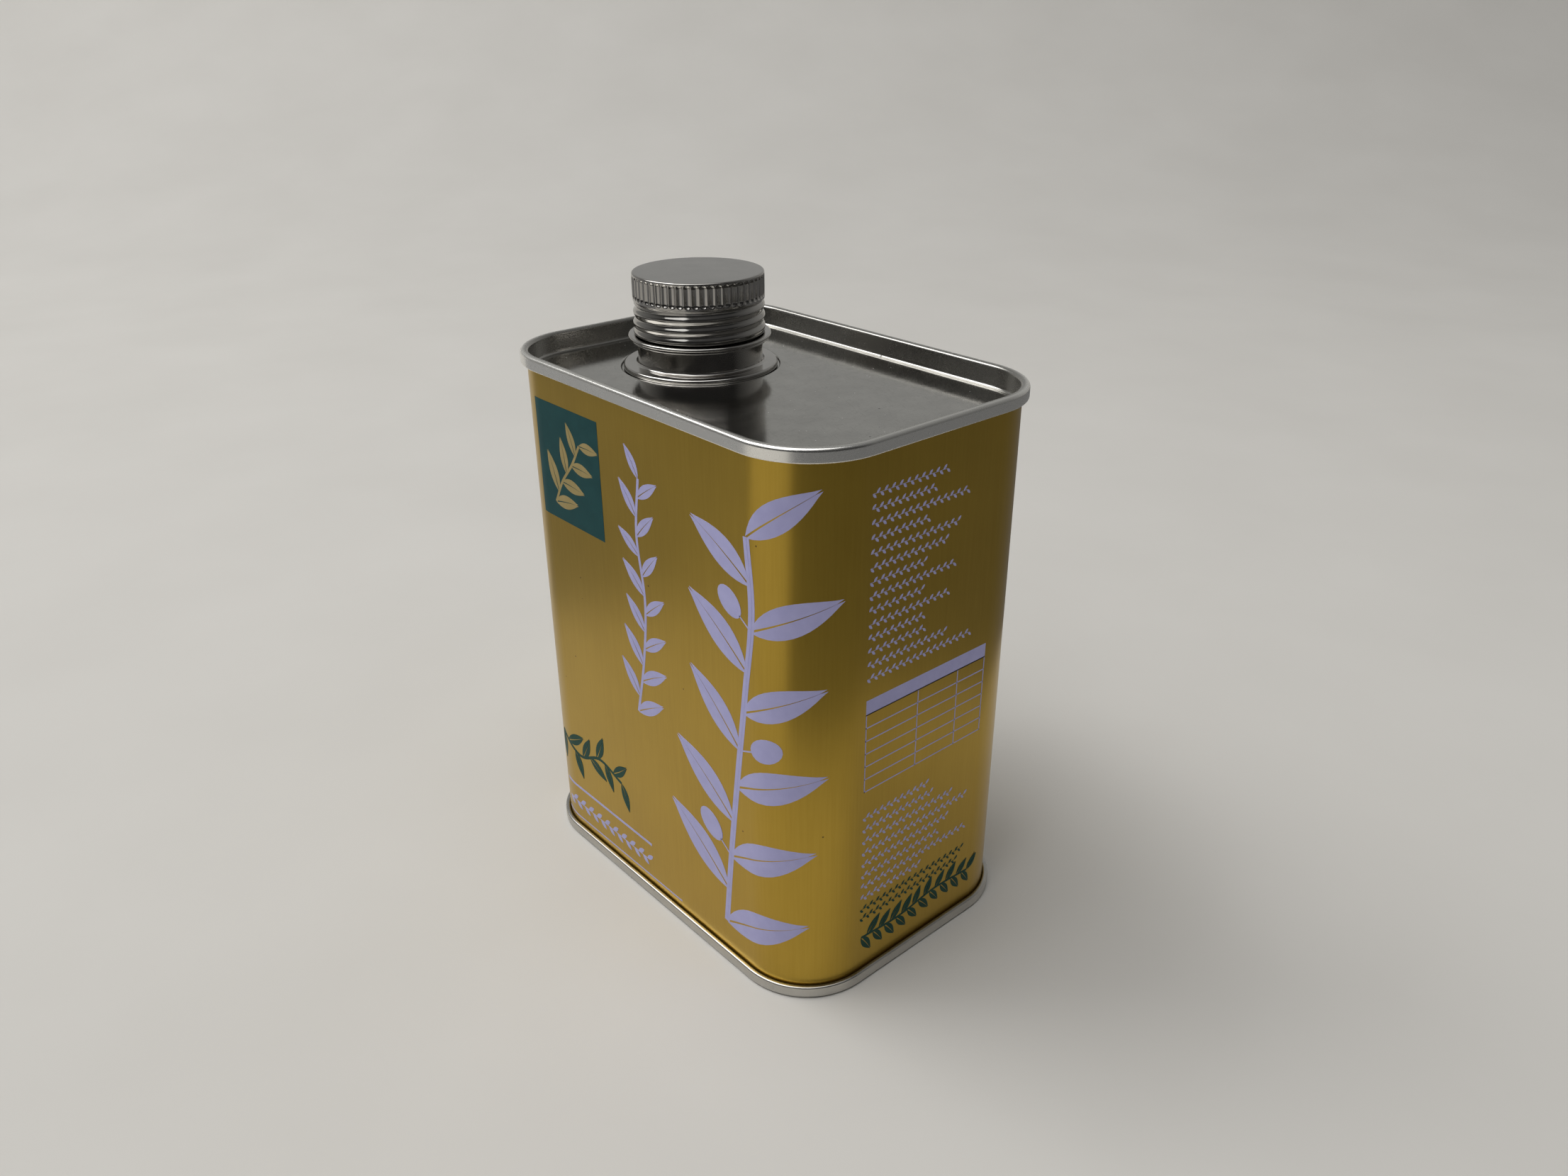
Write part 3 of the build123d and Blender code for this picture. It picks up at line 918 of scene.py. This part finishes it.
def cap_outline():
    """The cap's section from the middle of its top round the skirt, and how many points lie outside."""
    inner = cap_radius - CAP_SHEET
    bore = grip_radius - GRIP_WALL
    grip_foot = (grip_radius, grip_bottom)
    skirt_foot = (cap_radius, cap_bottom + SKIRT_ROUND)
    inner_foot = (inner, cap_bottom + SKIRT_ROUND)
    outline = [(0.0, cap_top)]
    outline += [(share * grip_radius, cap_top) for share in CAP_TOP_RING_SHARES]
    for k in range(CAP_EDGE_STEPS + 1):
        angle = math.radians(90 - 90 * k / CAP_EDGE_STEPS)
        outline.append((grip_radius - CAP_EDGE + CAP_EDGE * math.cos(angle),
                        cap_top - CAP_EDGE + CAP_EDGE * math.sin(angle)))
    outline += steps_between(outline[-1], grip_foot, GRIP_STEP)[1:]
    outline += steps_between(grip_foot, skirt_foot, GRIP_STEP)
    outer_count = len(outline)
    outline += [skirt_foot, (cap_radius - SKIRT_ROUND, cap_bottom)]
    outline += [(inner + SKIRT_ROUND, cap_bottom), inner_foot]
    outline += steps_between(inner_foot, (inner, grip_bottom - CAP_SHEET), CAP_INNER_STEP)[1:]
    outline += [
        (bore, grip_bottom), (bore, cap_top - 2 * CAP_SHEET), (bore - CAP_SHEET, cap_top - CAP_SHEET),
        (0.5 * bore, cap_top - CAP_SHEET), (0.0, cap_top - CAP_SHEET),
    ]
    return outline, outer_count


def cap_marks(outline, outer_count):
    """Which of the cap's rings the thread, the groove over it and the flutes reach."""
    slack = 2 * SAME_RADIUS
    bore = grip_radius - GRIP_WALL
    grip_share = 0.9
    groove_middle = grip_bottom - GROOVE_HEIGHT / 2
    marks = {"threaded": [], "groove": [], "grip": []}
    for i, (radius, height) in enumerate(outline):
        below = height < grip_bottom + slack and radius > bore + slack
        near = abs(height - groove_middle) / (GROOVE_HEIGHT / 2)
        dip = 0.5 + 0.5 * math.cos(math.pi * min(1.0, near ** GROOVE_FLATNESS))
        marks["groove"].append(dip if below and near < 1 else 0.0)
        marks["threaded"].append(float(below))
        marks["grip"].append(float(i < outer_count and radius > grip_share * grip_radius))
    return marks


def make_cap():
    """Fluted grip, groove and rolled thread of the cap, as a thin drawn shell."""
    outline, outer_count = cap_outline()
    fade_in = (roll_start - 0.75 * THREAD_PITCH, roll_start + 0.1 * THREAD_PITCH)
    fade_out = (grip_bottom - 0.1 * THREAD_PITCH, grip_bottom)
    mesh = run_trees(
        ring_mesh(outline, cap_marks(outline, outer_count), FLUTES * STEPS_PER_FLUTE, close=False),
        "cap",
        thread_run(THREAD_AZIMUTH, -THREAD_RISE, fade_in, fade_out, CAP_METAL),
        (FLUTE, {
            "Axis X": neck_x,
            "Radius": grip_radius,
            "Count": float(FLUTES),
            "Tool Radius": FLUTE_TOOL,
            "Depth": FLUTE_DEPTH,
            "Middle Height": cap_top - FLUTE_MARGIN - FLUTE_LENGTH / 2,
            "Straight Half": FLUTE_LENGTH / 2 - FLUTE_RUN_OUT,
            "Material": CAP_METAL,
        }),
    )
    bm = bmesh.new()
    bm.from_mesh(mesh)
    finish_piece(bm, "fluted_cap", "cap", CAP_METAL, "cap_shell")


def rounded_outline(points, bevel, steps=3):
    """A closed outline of (radius, height) points with its corners rounded."""
    line = []
    for i, here in enumerate(points):
        here = Vector(here)
        before = Vector(points[i - 1]) - here
        after = Vector(points[(i + 1) % len(points)]) - here
        a = here + before.normalized() * bevel
        b = here + after.normalized() * bevel
        for k in range(steps + 1):
            t = k / steps
            line.append(tuple(a.lerp(here, t).lerp(here.lerp(b, t), t)))
    return line


def make_turned(name, points, bevel, body, material, node):
    """A piece turned round the neck's axis from a section of (radius, height) points."""
    bm = bmesh.new()
    round_the_neck(bm, rounded_outline(points, bevel), TURNED_SEGMENTS)
    finish_piece(bm, name, body, material, node)


def make_liner():
    outer = (liner_high.x - liner_low.x) / 2
    points = bar(LINER_HUB, outer, liner_low.z, liner_high.z)
    make_turned("foam_liner", points, LINER_BEVEL, "liner", FOAM, "cap_liner")


def make_gasket():
    outer = (gasket_high.x - gasket_low.x) / 2
    points = bar(STEM_RADIUS + GASKET_ROOM, outer, gasket_low.z, gasket_high.z)
    make_turned("sealing_ring", points, GASKET_BEVEL, "root", COMPOUND, "neck_gasket")


def make_insert():
    """Pouring insert: flange, plug wall, floor and upright spout lip."""
    top, low = insert_high.z, insert_low.z
    plug = MOUTH_RADIUS - NECK_SHEET - PLUG_GAP
    bore = plug - PLUG_WALL
    floor = top - INSERT_FLOOR_DEPTH
    under = floor - INSERT_FLOOR
    lip = top - INSERT_LIP_DROP
    points = [
        (MOUTH_RADIUS, mouth_top), (MOUTH_RADIUS, top), (bore, top), (bore, floor),
        (INSERT_LIP_RADIUS, floor), (INSERT_LIP_RADIUS, lip), (INSERT_THROAT_RADIUS, lip),
        (INSERT_THROAT_RADIUS, under), (bore, under), (bore, low), (plug, low), (plug, mouth_top),
    ]
    make_turned("pouring_insert", points, INSERT_BEVEL, "root", INSERT, "pour_insert")


# Printed decoration, drawn flat as (distance along the wall, height) and wrapped round the can

INK_RISE = 0.03 * MM
INK_SINK = 0.03 * MM
SECOND_INK_RISE = INK_RISE + 0.02 * MM
CUT_SLACK = 0.0001 * MM
FILM_EDGE = math.radians(40)
corner_start = flat_half_width
corner_length = CORNER * math.pi / 2
side_start = corner_start + corner_length


def wrap_point(along, height, out):
    """Place a flat print point on the front, a corner beside it or the right side of the wall."""
    turned = abs(along) - corner_start
    if turned < 0:
        return (along, -half_depth - out, height)
    if along > side_start:
        return (half_width + out, -flat_half_depth + along - side_start, height)
    angle = turned / CORNER
    reach = flat_half_width + (CORNER + out) * math.sin(angle)
    return (math.copysign(reach, along), -flat_half_depth - (CORNER + out) * math.cos(angle), height)


def wrap_print(flat, name, material, rise):
    """Cut a flat print where the wall bends and wrap it round the can as a closed film."""
    bm = bmesh.new()
    bm.from_mesh(flat)
    for start in (corner_start, -corner_start - corner_length):
        for k in range(CORNER_STEPS + 1):
            place = start + corner_length * k / CORNER_STEPS
            bmesh.ops.bisect_plane(
                bm, geom=bm.verts[:] + bm.edges[:] + bm.faces[:], plane_co=(place, 0, 0), plane_no=(1, 0, 0),
                dist=CUT_SLACK,
            )
    for vertex in bm.verts:
        along, height, out = vertex.co
        vertex.co = wrap_point(along, height, rise - INK_RISE + out if out > 0 else -INK_SINK)
    mesh = to_mesh(bm, name)
    place_piece(mesh, name, "root", material)
    mesh.set_sharp_from_angle(angle=FILM_EDGE)


def film(outlines, name="film"):
    """Closed films from flat outlines: each is a list of (x, y) points, one ink layer thick."""
    bm = bmesh.new()
    for outline in outlines:
        low = [bm.verts.new((x, y, -INK_SINK)) for x, y in outline]
        high = [bm.verts.new((x, y, INK_RISE)) for x, y in outline]
        bm.faces.new(high)
        bm.faces.new(low[::-1])
        for i in range(len(outline)):
            j = (i + 1) % len(outline)
            bm.faces.new((low[i], low[j], high[j], high[i]))
    return to_mesh(bm, name)


def bar(left, right, low, high):
    """An upright rectangle, as the points of its outline."""
    return [(left, low), (right, low), (right, high), (left, high)]


def leaf_halves(length, width, bend, rib, steps=12):
    """A slender leaf from (0, 0) along +x, as two halves with the rib left bare between them."""
    widest_early, fullness = 0.85, 0.9

    def middle(t):
        return bend * length * t * t

    def half(t):
        return width / 2 * math.sin(math.pi * t ** widest_early) ** fullness

    shares = [k / steps for k in range(steps + 1)]
    halves = []
    for side in (1, -1):
        edge = [(length * t, middle(t) + side * max(half(t), rib / 2)) for t in shares]
        inner = [(length * t, middle(t) + side * rib / 2 * (1 - t)) for t in shares[1:-1]]
        halves.append(edge + inner[::-1])
    return halves


def small_leaf(length, width, steps=6):
    """A plain leaf from (0, 0) along +x, for the rows that are too small to show a rib."""
    fullness = 0.8
    shares = [k / steps for k in range(steps + 1)]
    upper = [(length * t, width / 2 * math.sin(math.pi * t) ** fullness) for t in shares]
    lower = [(x, -y) for x, y in upper[1:-1]]
    return [upper + lower[::-1]]


def olive(stalk, length, width, steps=20):
    """A stalk from (0, 0) along +x, and an olive hanging from its end."""
    thin, overlap = 0.14 * MM, 0.3 * MM
    angles = [2 * math.pi * k / steps for k in range(steps)]
    body = [(stalk + length / 2 - length / 2 * math.cos(a), width / 2 * math.sin(a)) for a in angles]
    return [bar(0.0, stalk + overlap, -thin, thin), body[::-1]]


def make_sprig_tree():
    """Leaves along a stem: alternate sides, spread from the stem, smaller towards the tip."""
    stem_tip_share, stem_height_share = 0.35, 1.4
    layers, layer_share = 4.0, 0.15
    tree, n, given, out = open_geometry_tree("Sprig along a stem", {
        "Leaf": OBJECT,
        "Spacing": 6.0 * MM,
        "Every": 1,
        "First Side": 1.0,
        "Spread": 0.7,
        "Spread Jitter": 0.12,
        "Base Size": 1.0,
        "Tip Size": 0.6,
        "Size Jitter": 0.08,
        "Stem Width": 1.0 * MM,
        "Seed": 1,
    })

    def jitter(amount, seed_step):
        inputs = {"Min": n.times(amount, -1.0), "Max": amount, "Seed": n.plus(given["Seed"], seed_step)}
        return n.add("FunctionNodeRandomValue", inputs, data_type="FLOAT").outputs[1]

    line = n.add("GeometryNodeMeshToCurve", {0: given["Geometry"]}).outputs[0]
    share = n.add("GeometryNodeSplineParameter").outputs["Factor"]
    spaced = n.add("GeometryNodeResampleCurve", {"Curve": line, "Length": given["Spacing"]}, mode="LENGTH")
    x, y, _ = n.split(n.add("GeometryNodeInputTangent").outputs[0])
    way = n.math("ARCTAN2", y, x)
    index = n.add("GeometryNodeInputIndex").outputs[0]
    side = n.minus(n.times(n.math("MODULO", index, 2.0), 2.0), 1.0)
    side = n.times(side, given["First Side"])
    chosen = n.math("LESS_THAN", n.math("MODULO", n.plus(index, 1.0), given["Every"]), 0.5)
    opened = n.plus(given["Spread"], jitter(given["Spread Jitter"], 0.0))
    turn = n.plus(way, n.times(side, opened))
    size = n.range(share, 0.0, 1.0, given["Base Size"], given["Tip Size"])
    size = n.plus(size, jitter(given["Size Jitter"], 7.0))
    layer = n.vector(0.0, 0.0, n.times(n.math("MODULO", index, layers), layer_share * INK_RISE))
    layered = n.add("GeometryNodeSetPosition", {"Geometry": spaced.outputs[0], "Offset": layer})
    leaf = n.add("GeometryNodeObjectInfo", {"Object": given["Leaf"]})
    leaves = n.add("GeometryNodeInstanceOnPoints", {
        "Points": layered.outputs[0],
        "Selection": chosen,
        "Instance": leaf.outputs["Geometry"],
        "Rotation": n.vector(0.0, 0.0, turn),
        "Scale": n.vector(size, n.times(size, side), 1.0),
    })
    taper = n.range(share, 0.0, 1.0, 1.0, stem_tip_share)
    tapered = n.add("GeometryNodeSetCurveRadius", {"Curve": line, "Radius": taper})
    section = n.add("GeometryNodeCurvePrimitiveQuadrilateral", {
        "Width": given["Stem Width"], "Height": stem_height_share * INK_RISE,
    })
    stem = n.add("GeometryNodeCurveToMesh", {
        "Curve": tapered.outputs[0], "Profile Curve": section.outputs[0], "Fill Caps": True,
    })
    joined = n.add("GeometryNodeJoinGeometry")
    n.set(joined.inputs[0], stem.outputs[0])
    n.set(joined.inputs[0], leaves.outputs[0])
    finish_tree(n, given, out, joined.outputs[0])
    return tree


SPRIG = make_sprig_tree()


def smooth_lines(lines, steps=10):
    """Flat edge meshes through points (along, height), in millimetres, rounded as Catmull-Rom curves."""
    places, edges = [], []
    for points in lines:
        points = [Vector((x * MM, y * MM, 0.0)) for x, y in points]
        ends = [2 * points[0] - points[1]] + points + [2 * points[-1] - points[-2]]
        first = len(places)
        for a, b, c, d in zip(ends, ends[1:], ends[2:], ends[3:]):
            for k in range(steps):
                t = k / steps
                places.append(0.5 * (2 * b + (c - a) * t + (2 * a - 5 * b + 4 * c - d) * t ** 2
                                     + (3 * b - a - 3 * c + d) * t ** 3))
        places.append(points[-1])
        edges += [(i, i + 1) for i in range(first, len(places) - 1)]
    mesh = bpy.data.meshes.new("lines")
    mesh.from_pydata(places, edges, [])
    return mesh


def print_sprig(name, lines, leaf, material, spacing, spread, sizes, stem_width, seed, rise=INK_RISE,
                jitter=1.0, every=1, first_side=1.0):
    """Print sprigs whose stems run along lines, with the outlines of one leaf repeated along them."""
    spread_jitter, size_jitter = 0.08, 0.06
    pattern = add_object(name + "_leaf", film(leaf))
    flat = run_trees(
        smooth_lines(lines),
        name,
        (SPRIG, {
            "Leaf": pattern,
            "Spacing": spacing,
            "Every": every,
            "First Side": first_side,
            "Spread": spread,
            "Spread Jitter": spread_jitter * jitter,
            "Base Size": sizes[0],
            "Tip Size": sizes[1],
            "Size Jitter": size_jitter * jitter,
            "Stem Width": stem_width,
            "Seed": seed,
            "Material": material,
        }),
    )
    bpy.data.objects.remove(pattern)
    wrap_print(flat, name, material, rise)


def print_film(name, outlines, material):
    wrap_print(film(outlines, name), name, material, INK_RISE)


def print_front():
    """Front: a large olive branch round the corner, a slim sprig, a teal panel and leafy borders."""
    branch = [(23.0, 9.0), (25.0, 27.0), (27.5, 46.0), (30.0, 64.0), (32.0, 80.0), (31.0, 94.0)]
    print_sprig("branch_leaves", [branch], leaf_halves(21 * MM, 7.0 * MM, bend=0.08, rib=0.5 * MM), LAVENDER,
                spacing=8.2 * MM, spread=0.95, sizes=(1.0, 0.8), stem_width=1.5 * MM, seed=3)
    print_sprig("branch_olives", [branch], olive(stalk=3.6 * MM, length=7.6 * MM, width=5.2 * MM), LAVENDER,
                spacing=8.2 * MM, spread=1.0, sizes=(1.0, 0.9), stem_width=0.2 * MM, seed=11,
                rise=SECOND_INK_RISE, every=3, first_side=-1.0)
    slim = [(-3.5, 45.0), (-0.5, 58.0), (1.0, 71.0), (-0.5, 84.0), (1.0, 95.5)]
    print_sprig("slim_sprig", [slim], leaf_halves(9.5 * MM, 3.1 * MM, bend=0.08, rib=0.3 * MM), LAVENDER,
                spacing=3.7 * MM, spread=0.75, sizes=(1.0, 0.75), stem_width=0.7 * MM, seed=5)
    print_film("teal_panel", [bar(-33.0 * MM, -11.3 * MM, 79.0 * MM, 102.9 * MM)], TEAL)
    crest = [(-28.0, 82.5), (-25.0, 87.5), (-21.0, 92.0), (-18.0, 96.5)]
    print_sprig("panel_sprig", [crest], leaf_halves(8.6 * MM, 3.0 * MM, bend=0.08, rib=0.3 * MM), PALE_GOLD,
                spacing=2.5 * MM, spread=0.85, sizes=(1.0, 0.75), stem_width=0.6 * MM, seed=8,
                rise=SECOND_INK_RISE)
    garland = [(-35.5, 25.5), (-28.0, 22.0), (-20.0, 25.0), (-12.0, 23.0)]
    print_sprig("green_garland", [garland], leaf_halves(7.4 * MM, 2.7 * MM, bend=0.1, rib=0.3 * MM), GREEN,
                spacing=3.1 * MM, spread=0.85, sizes=(1.0, 0.85), stem_width=0.7 * MM, seed=21)
    upper_rule = bar(-35 * MM, -2 * MM, 12.4 * MM, 13.0 * MM)
    lower_rule = bar(-36 * MM, 8 * MM, 4.0 * MM, 4.35 * MM)
    print_film("front_rules", [upper_rule, lower_rule], LAVENDER)
    print_sprig("front_leaf_row", [[(-34.5, 8.2), (-4.0, 8.2)]], small_leaf(2.6 * MM, 1.1 * MM), LAVENDER,
                spacing=1.6 * MM, spread=0.6, sizes=(1.0, 1.0), stem_width=0.2 * MM, seed=2, jitter=0.0)


# The right side's print, from its left margin
SIDE_MARGIN = 0.9 * MM
SIDE_WIDTH = 31.5 * MM
TABLE_LOW = 44.0 * MM
TABLE_HIGH = 60.2 * MM
TABLE_HEAD = 3.0 * MM
TABLE_LINE = 0.22 * MM
TABLE_PITCH = 2.7 * MM
TABLE_RULES = 7
TABLE_COLUMN_SHARES = (0.0, 0.42, 0.76, 1.0)


def print_side():
    """Right side: rows of tiny leaves, a ruled table with a filled head, and a green garland."""
    left = side_start + SIDE_MARGIN
    right = left + SIDE_WIDTH
    start = left / MM
    tiny = small_leaf(1.15 * MM, 0.5 * MM)
    generator = random.Random(7)

    def rows(name, material, top, bottom, pitch, shortest, longest):
        lines = []
        for i in range(round((top - bottom) / pitch) + 1):
            height = top - i * pitch
            lines.append([(start, height), (start + generator.uniform(shortest, longest), height)])
        print_sprig(name, lines, tiny, material, spacing=0.85 * MM, spread=0.75, sizes=(1.0, 1.0),
                    stem_width=0.08 * MM, seed=1, jitter=0.0)

    rows("side_rows", LAVENDER, top=101.5, bottom=67.5, pitch=2.62, shortest=12.0, longest=29.0)
    rows("lower_rows", LAVENDER, top=38.2, bottom=19.5, pitch=2.65, shortest=15.0, longest=29.0)
    rows("green_rows", GREEN, top=16.9, bottom=14.6, pitch=2.2, shortest=26.0, longest=29.0)
    table = [bar(left, right, TABLE_HIGH, TABLE_HIGH + TABLE_HEAD)]
    for k in range(TABLE_RULES):
        height = TABLE_LOW + k * TABLE_PITCH
        table.append(bar(left, right, height, height + TABLE_LINE))
    for share in TABLE_COLUMN_SHARES:
        place = left + share * (right - left - TABLE_LINE)
        table.append(bar(place, place + TABLE_LINE, TABLE_LOW, TABLE_HIGH))
    print_film("side_table", table, LAVENDER)
    garland = [(start + 0.5, 10.0), (start + 11, 9.4), (start + 21, 10.6), (start + 31, 10.0)]
    print_sprig("side_garland", [garland], leaf_halves(4.6 * MM, 1.9 * MM, bend=0.08, rib=0.25 * MM), GREEN,
                spacing=1.6 * MM, spread=0.85, sizes=(1.0, 0.9), stem_width=0.5 * MM, seed=31)


make_body_wall()
make_top_end()
make_bottom_end()
make_neck()
make_cap()
make_liner()
make_gasket()
make_insert()
print_front()
print_side()
for name in ("top_seam_compound", "bottom_seam_compound"):
    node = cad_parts[name]
    node.data.materials.clear()
    node.data.materials.append(COMPOUND)


# Studio: the camera, a pale sweep, two cards of painted shade that only reflections show, three soft lamps
# and a dim room, in metres

CAMERA_PLACE = Vector((169.0, -143.1, 172.4)) * MM
CAMERA_AIM = Vector((2.53, 2.89, 63.55)) * MM
CAMERA_ROLL = math.radians(0.245)
CAMERA_LENS = 27.67
CAMERA_SENSOR = 36.0
CAMERA_NEAREST = 0.01
CAMERA_AWAY = Vector((-0.752, 0.659, 0.0))
CAMERA_LEFT = Vector((-0.659, -0.752, 0.0))
UP = Vector((0.0, 0.0, 1.0))

SWEEP_FRONT = -3.0
SWEEP_HALF_WIDTH = 3.5
SWEEP_BEND_START = 0.55
SWEEP_BEND = 0.9
SWEEP_BEND_ANGLE = 44.0
SWEEP_BEND_STEPS = 16
SWEEP_DARK, SWEEP_LIGHT = (0.675, 0.655, 0.615), (0.705, 0.685, 0.645)

CARD_OUTER = 2.6
CARD_LEVEL = 0.002
CARD_STEPS = 40

# Cards on the floor that only shiny surfaces see: painted shade in their reflection of the floor, on either
# side of the bright band left for the body's corner
# Angles round the tin from and to which each card lies, its inner radius and its grey
CARDS = {
    "dark_card": (-62.0, 140.0, 0.13, 0.19),
    "grey_card": (-165.0, -118.0, 0.15, 0.31),
}

# How far left of the tin, away from the camera and up each lamp hangs, its side and its watts
LAMPS = {
    "window": (1.5, 0.5, 2.1, 1.4, 27.0),
    "second_window": (0.9, -0.8, 1.8, 1.3, 9.0),
    "ceiling": (0.2, -0.3, 2.2, 1.8, 14.0),
}

ROOM_BEHIND_TIN = (0.38, 0.38, 0.37)
ROOM_BEHIND_CAMERA = (0.03, 0.03, 0.03)
ROOM_OVERHEAD = (0.16, 0.16, 0.16)
ROOM_PAST_SWEEP = (0.5, 0.49, 0.47)

# Where the room's tones change, as shares of the way to behind the camera and to straight above
CAMERA_SIDE_FADE = (-0.9, 0.4)
OVERHEAD_FADE = (0.45, 1.0)


def make_camera():
    data = bpy.data.cameras.new("camera")
    data.lens = CAMERA_LENS
    data.sensor_width = CAMERA_SENSOR
    data.clip_start = CAMERA_NEAREST
    camera = add_object("camera", data)
    camera.matrix_world = (CAMERA_AIM - CAMERA_PLACE).to_track_quat("-Z", "Y").to_matrix().to_4x4()
    camera.rotation_euler.rotate_axis("Z", -CAMERA_ROLL)
    camera.location = CAMERA_PLACE
    bpy.context.scene.camera = camera


def make_strip(name, first, second, material):
    """A sheet of the studio between two rows of points, which isn't part of the tin."""
    bm = bmesh.new()
    a, b = ([bm.verts.new(p) for p in row] for row in (first, second))
    for i in range(len(a) - 1):
        bm.faces.new((a[i], a[i + 1], b[i + 1], b[i]))
    mesh = to_mesh(bm, name)
    mesh.shade_smooth()
    mesh.materials.append(material)
    strip = add_object(name, mesh)
    return strip


def make_sweep():
    """Pale floor that curves up into a backdrop behind the tin, as seen by the camera."""
    material, n, shader, place = open_material("pale_sweep")
    waves = n.group(WAVES, Vector=place, Scale=3.0, Grain_Scale=900.0, Grain_Share=0.1)
    mottle_surface(n, shader, waves, SWEEP_DARK, SWEEP_LIGHT, MIDDLE, 0.01 * MM)
    n.fill(shader, {"Roughness": 0.6, "Specular IOR Level": 0.0})
    profile = [(SWEEP_FRONT, 0.0), (SWEEP_BEND_START, 0.0)]
    for k in range(1, SWEEP_BEND_STEPS + 1):
        angle = math.radians(SWEEP_BEND_ANGLE * k / SWEEP_BEND_STEPS)
        away = SWEEP_BEND_START + SWEEP_BEND * math.sin(angle)
        profile.append((away, SWEEP_BEND - SWEEP_BEND * math.cos(angle)))
    left, right = (
        [CAMERA_AWAY * away + CAMERA_LEFT * side + UP * height for away, height in profile]
        for side in (SWEEP_HALF_WIDTH, -SWEEP_HALF_WIDTH)
    )
    make_strip("sweep", left, right, material)


def make_shade_card(name, start, stop, inner, grey):
    """A card just over the floor, on one side of the tin, that only shiny surfaces reflect: painted shade in
    their reflection of the floor.
    """
    material, n, shader, _ = open_material(name)
    n.fill(shader, {"Base Color": (grey, grey, grey), "Roughness": 1.0})
    angles = [math.radians(start + (stop - start) * k / CARD_STEPS) for k in range(CARD_STEPS + 1)]
    near, far = (
        [(radius * math.cos(a), radius * math.sin(a), CARD_LEVEL) for a in angles]
        for radius in (inner, CARD_OUTER)
    )
    card = make_strip(name, near, far, material)
    card.visible_camera = False
    card.visible_diffuse = False
    card.visible_shadow = False


def make_lamp(name, left, away, up, side, power):
    """A square soft lamp that points at the tin."""
    place = CAMERA_LEFT * left + CAMERA_AWAY * away + UP * up
    data = bpy.data.lights.new(name, "AREA")
    data.shape = "SQUARE"
    data.size = side
    data.energy = power
    lamp = add_object(name, data)
    lamp.location = place
    lamp.rotation_euler = (-place).to_track_quat("-Z", "Y").to_euler()


def make_room():
    """A grey room: dark behind the camera, lighter behind the tin and overhead."""
    world = bpy.data.worlds.new("room")
    bpy.context.scene.world = world
    world.use_nodes = True
    n = Nodes(world.node_tree)
    way = n.add("ShaderNodeTexCoord").outputs["Generated"]
    facing = n.add("ShaderNodeVectorMath", {0: way, 1: -CAMERA_AWAY}, operation="DOT_PRODUCT")
    behind_camera = n.range(facing.outputs["Value"], *CAMERA_SIDE_FADE)
    overhead = n.range(n.split(way)[2], *OVERHEAD_FADE)
    grey = n.mix(behind_camera, ROOM_BEHIND_TIN, ROOM_BEHIND_CAMERA)
    grey = n.mix(overhead, grey, ROOM_OVERHEAD)
    seen = n.add("ShaderNodeLightPath").outputs["Is Camera Ray"]
    grey = n.mix(seen, grey, ROOM_PAST_SWEEP)
    n.fill(world.node_tree.nodes["Background"], {"Color": grey, "Strength": 1.0})


make_camera()
make_sweep()
for name, values in CARDS.items():
    make_shade_card(name, *values)
for name, values in LAMPS.items():
    make_lamp(name, *values)
make_room()
bpy.context.scene.view_settings.view_transform = "Standard"
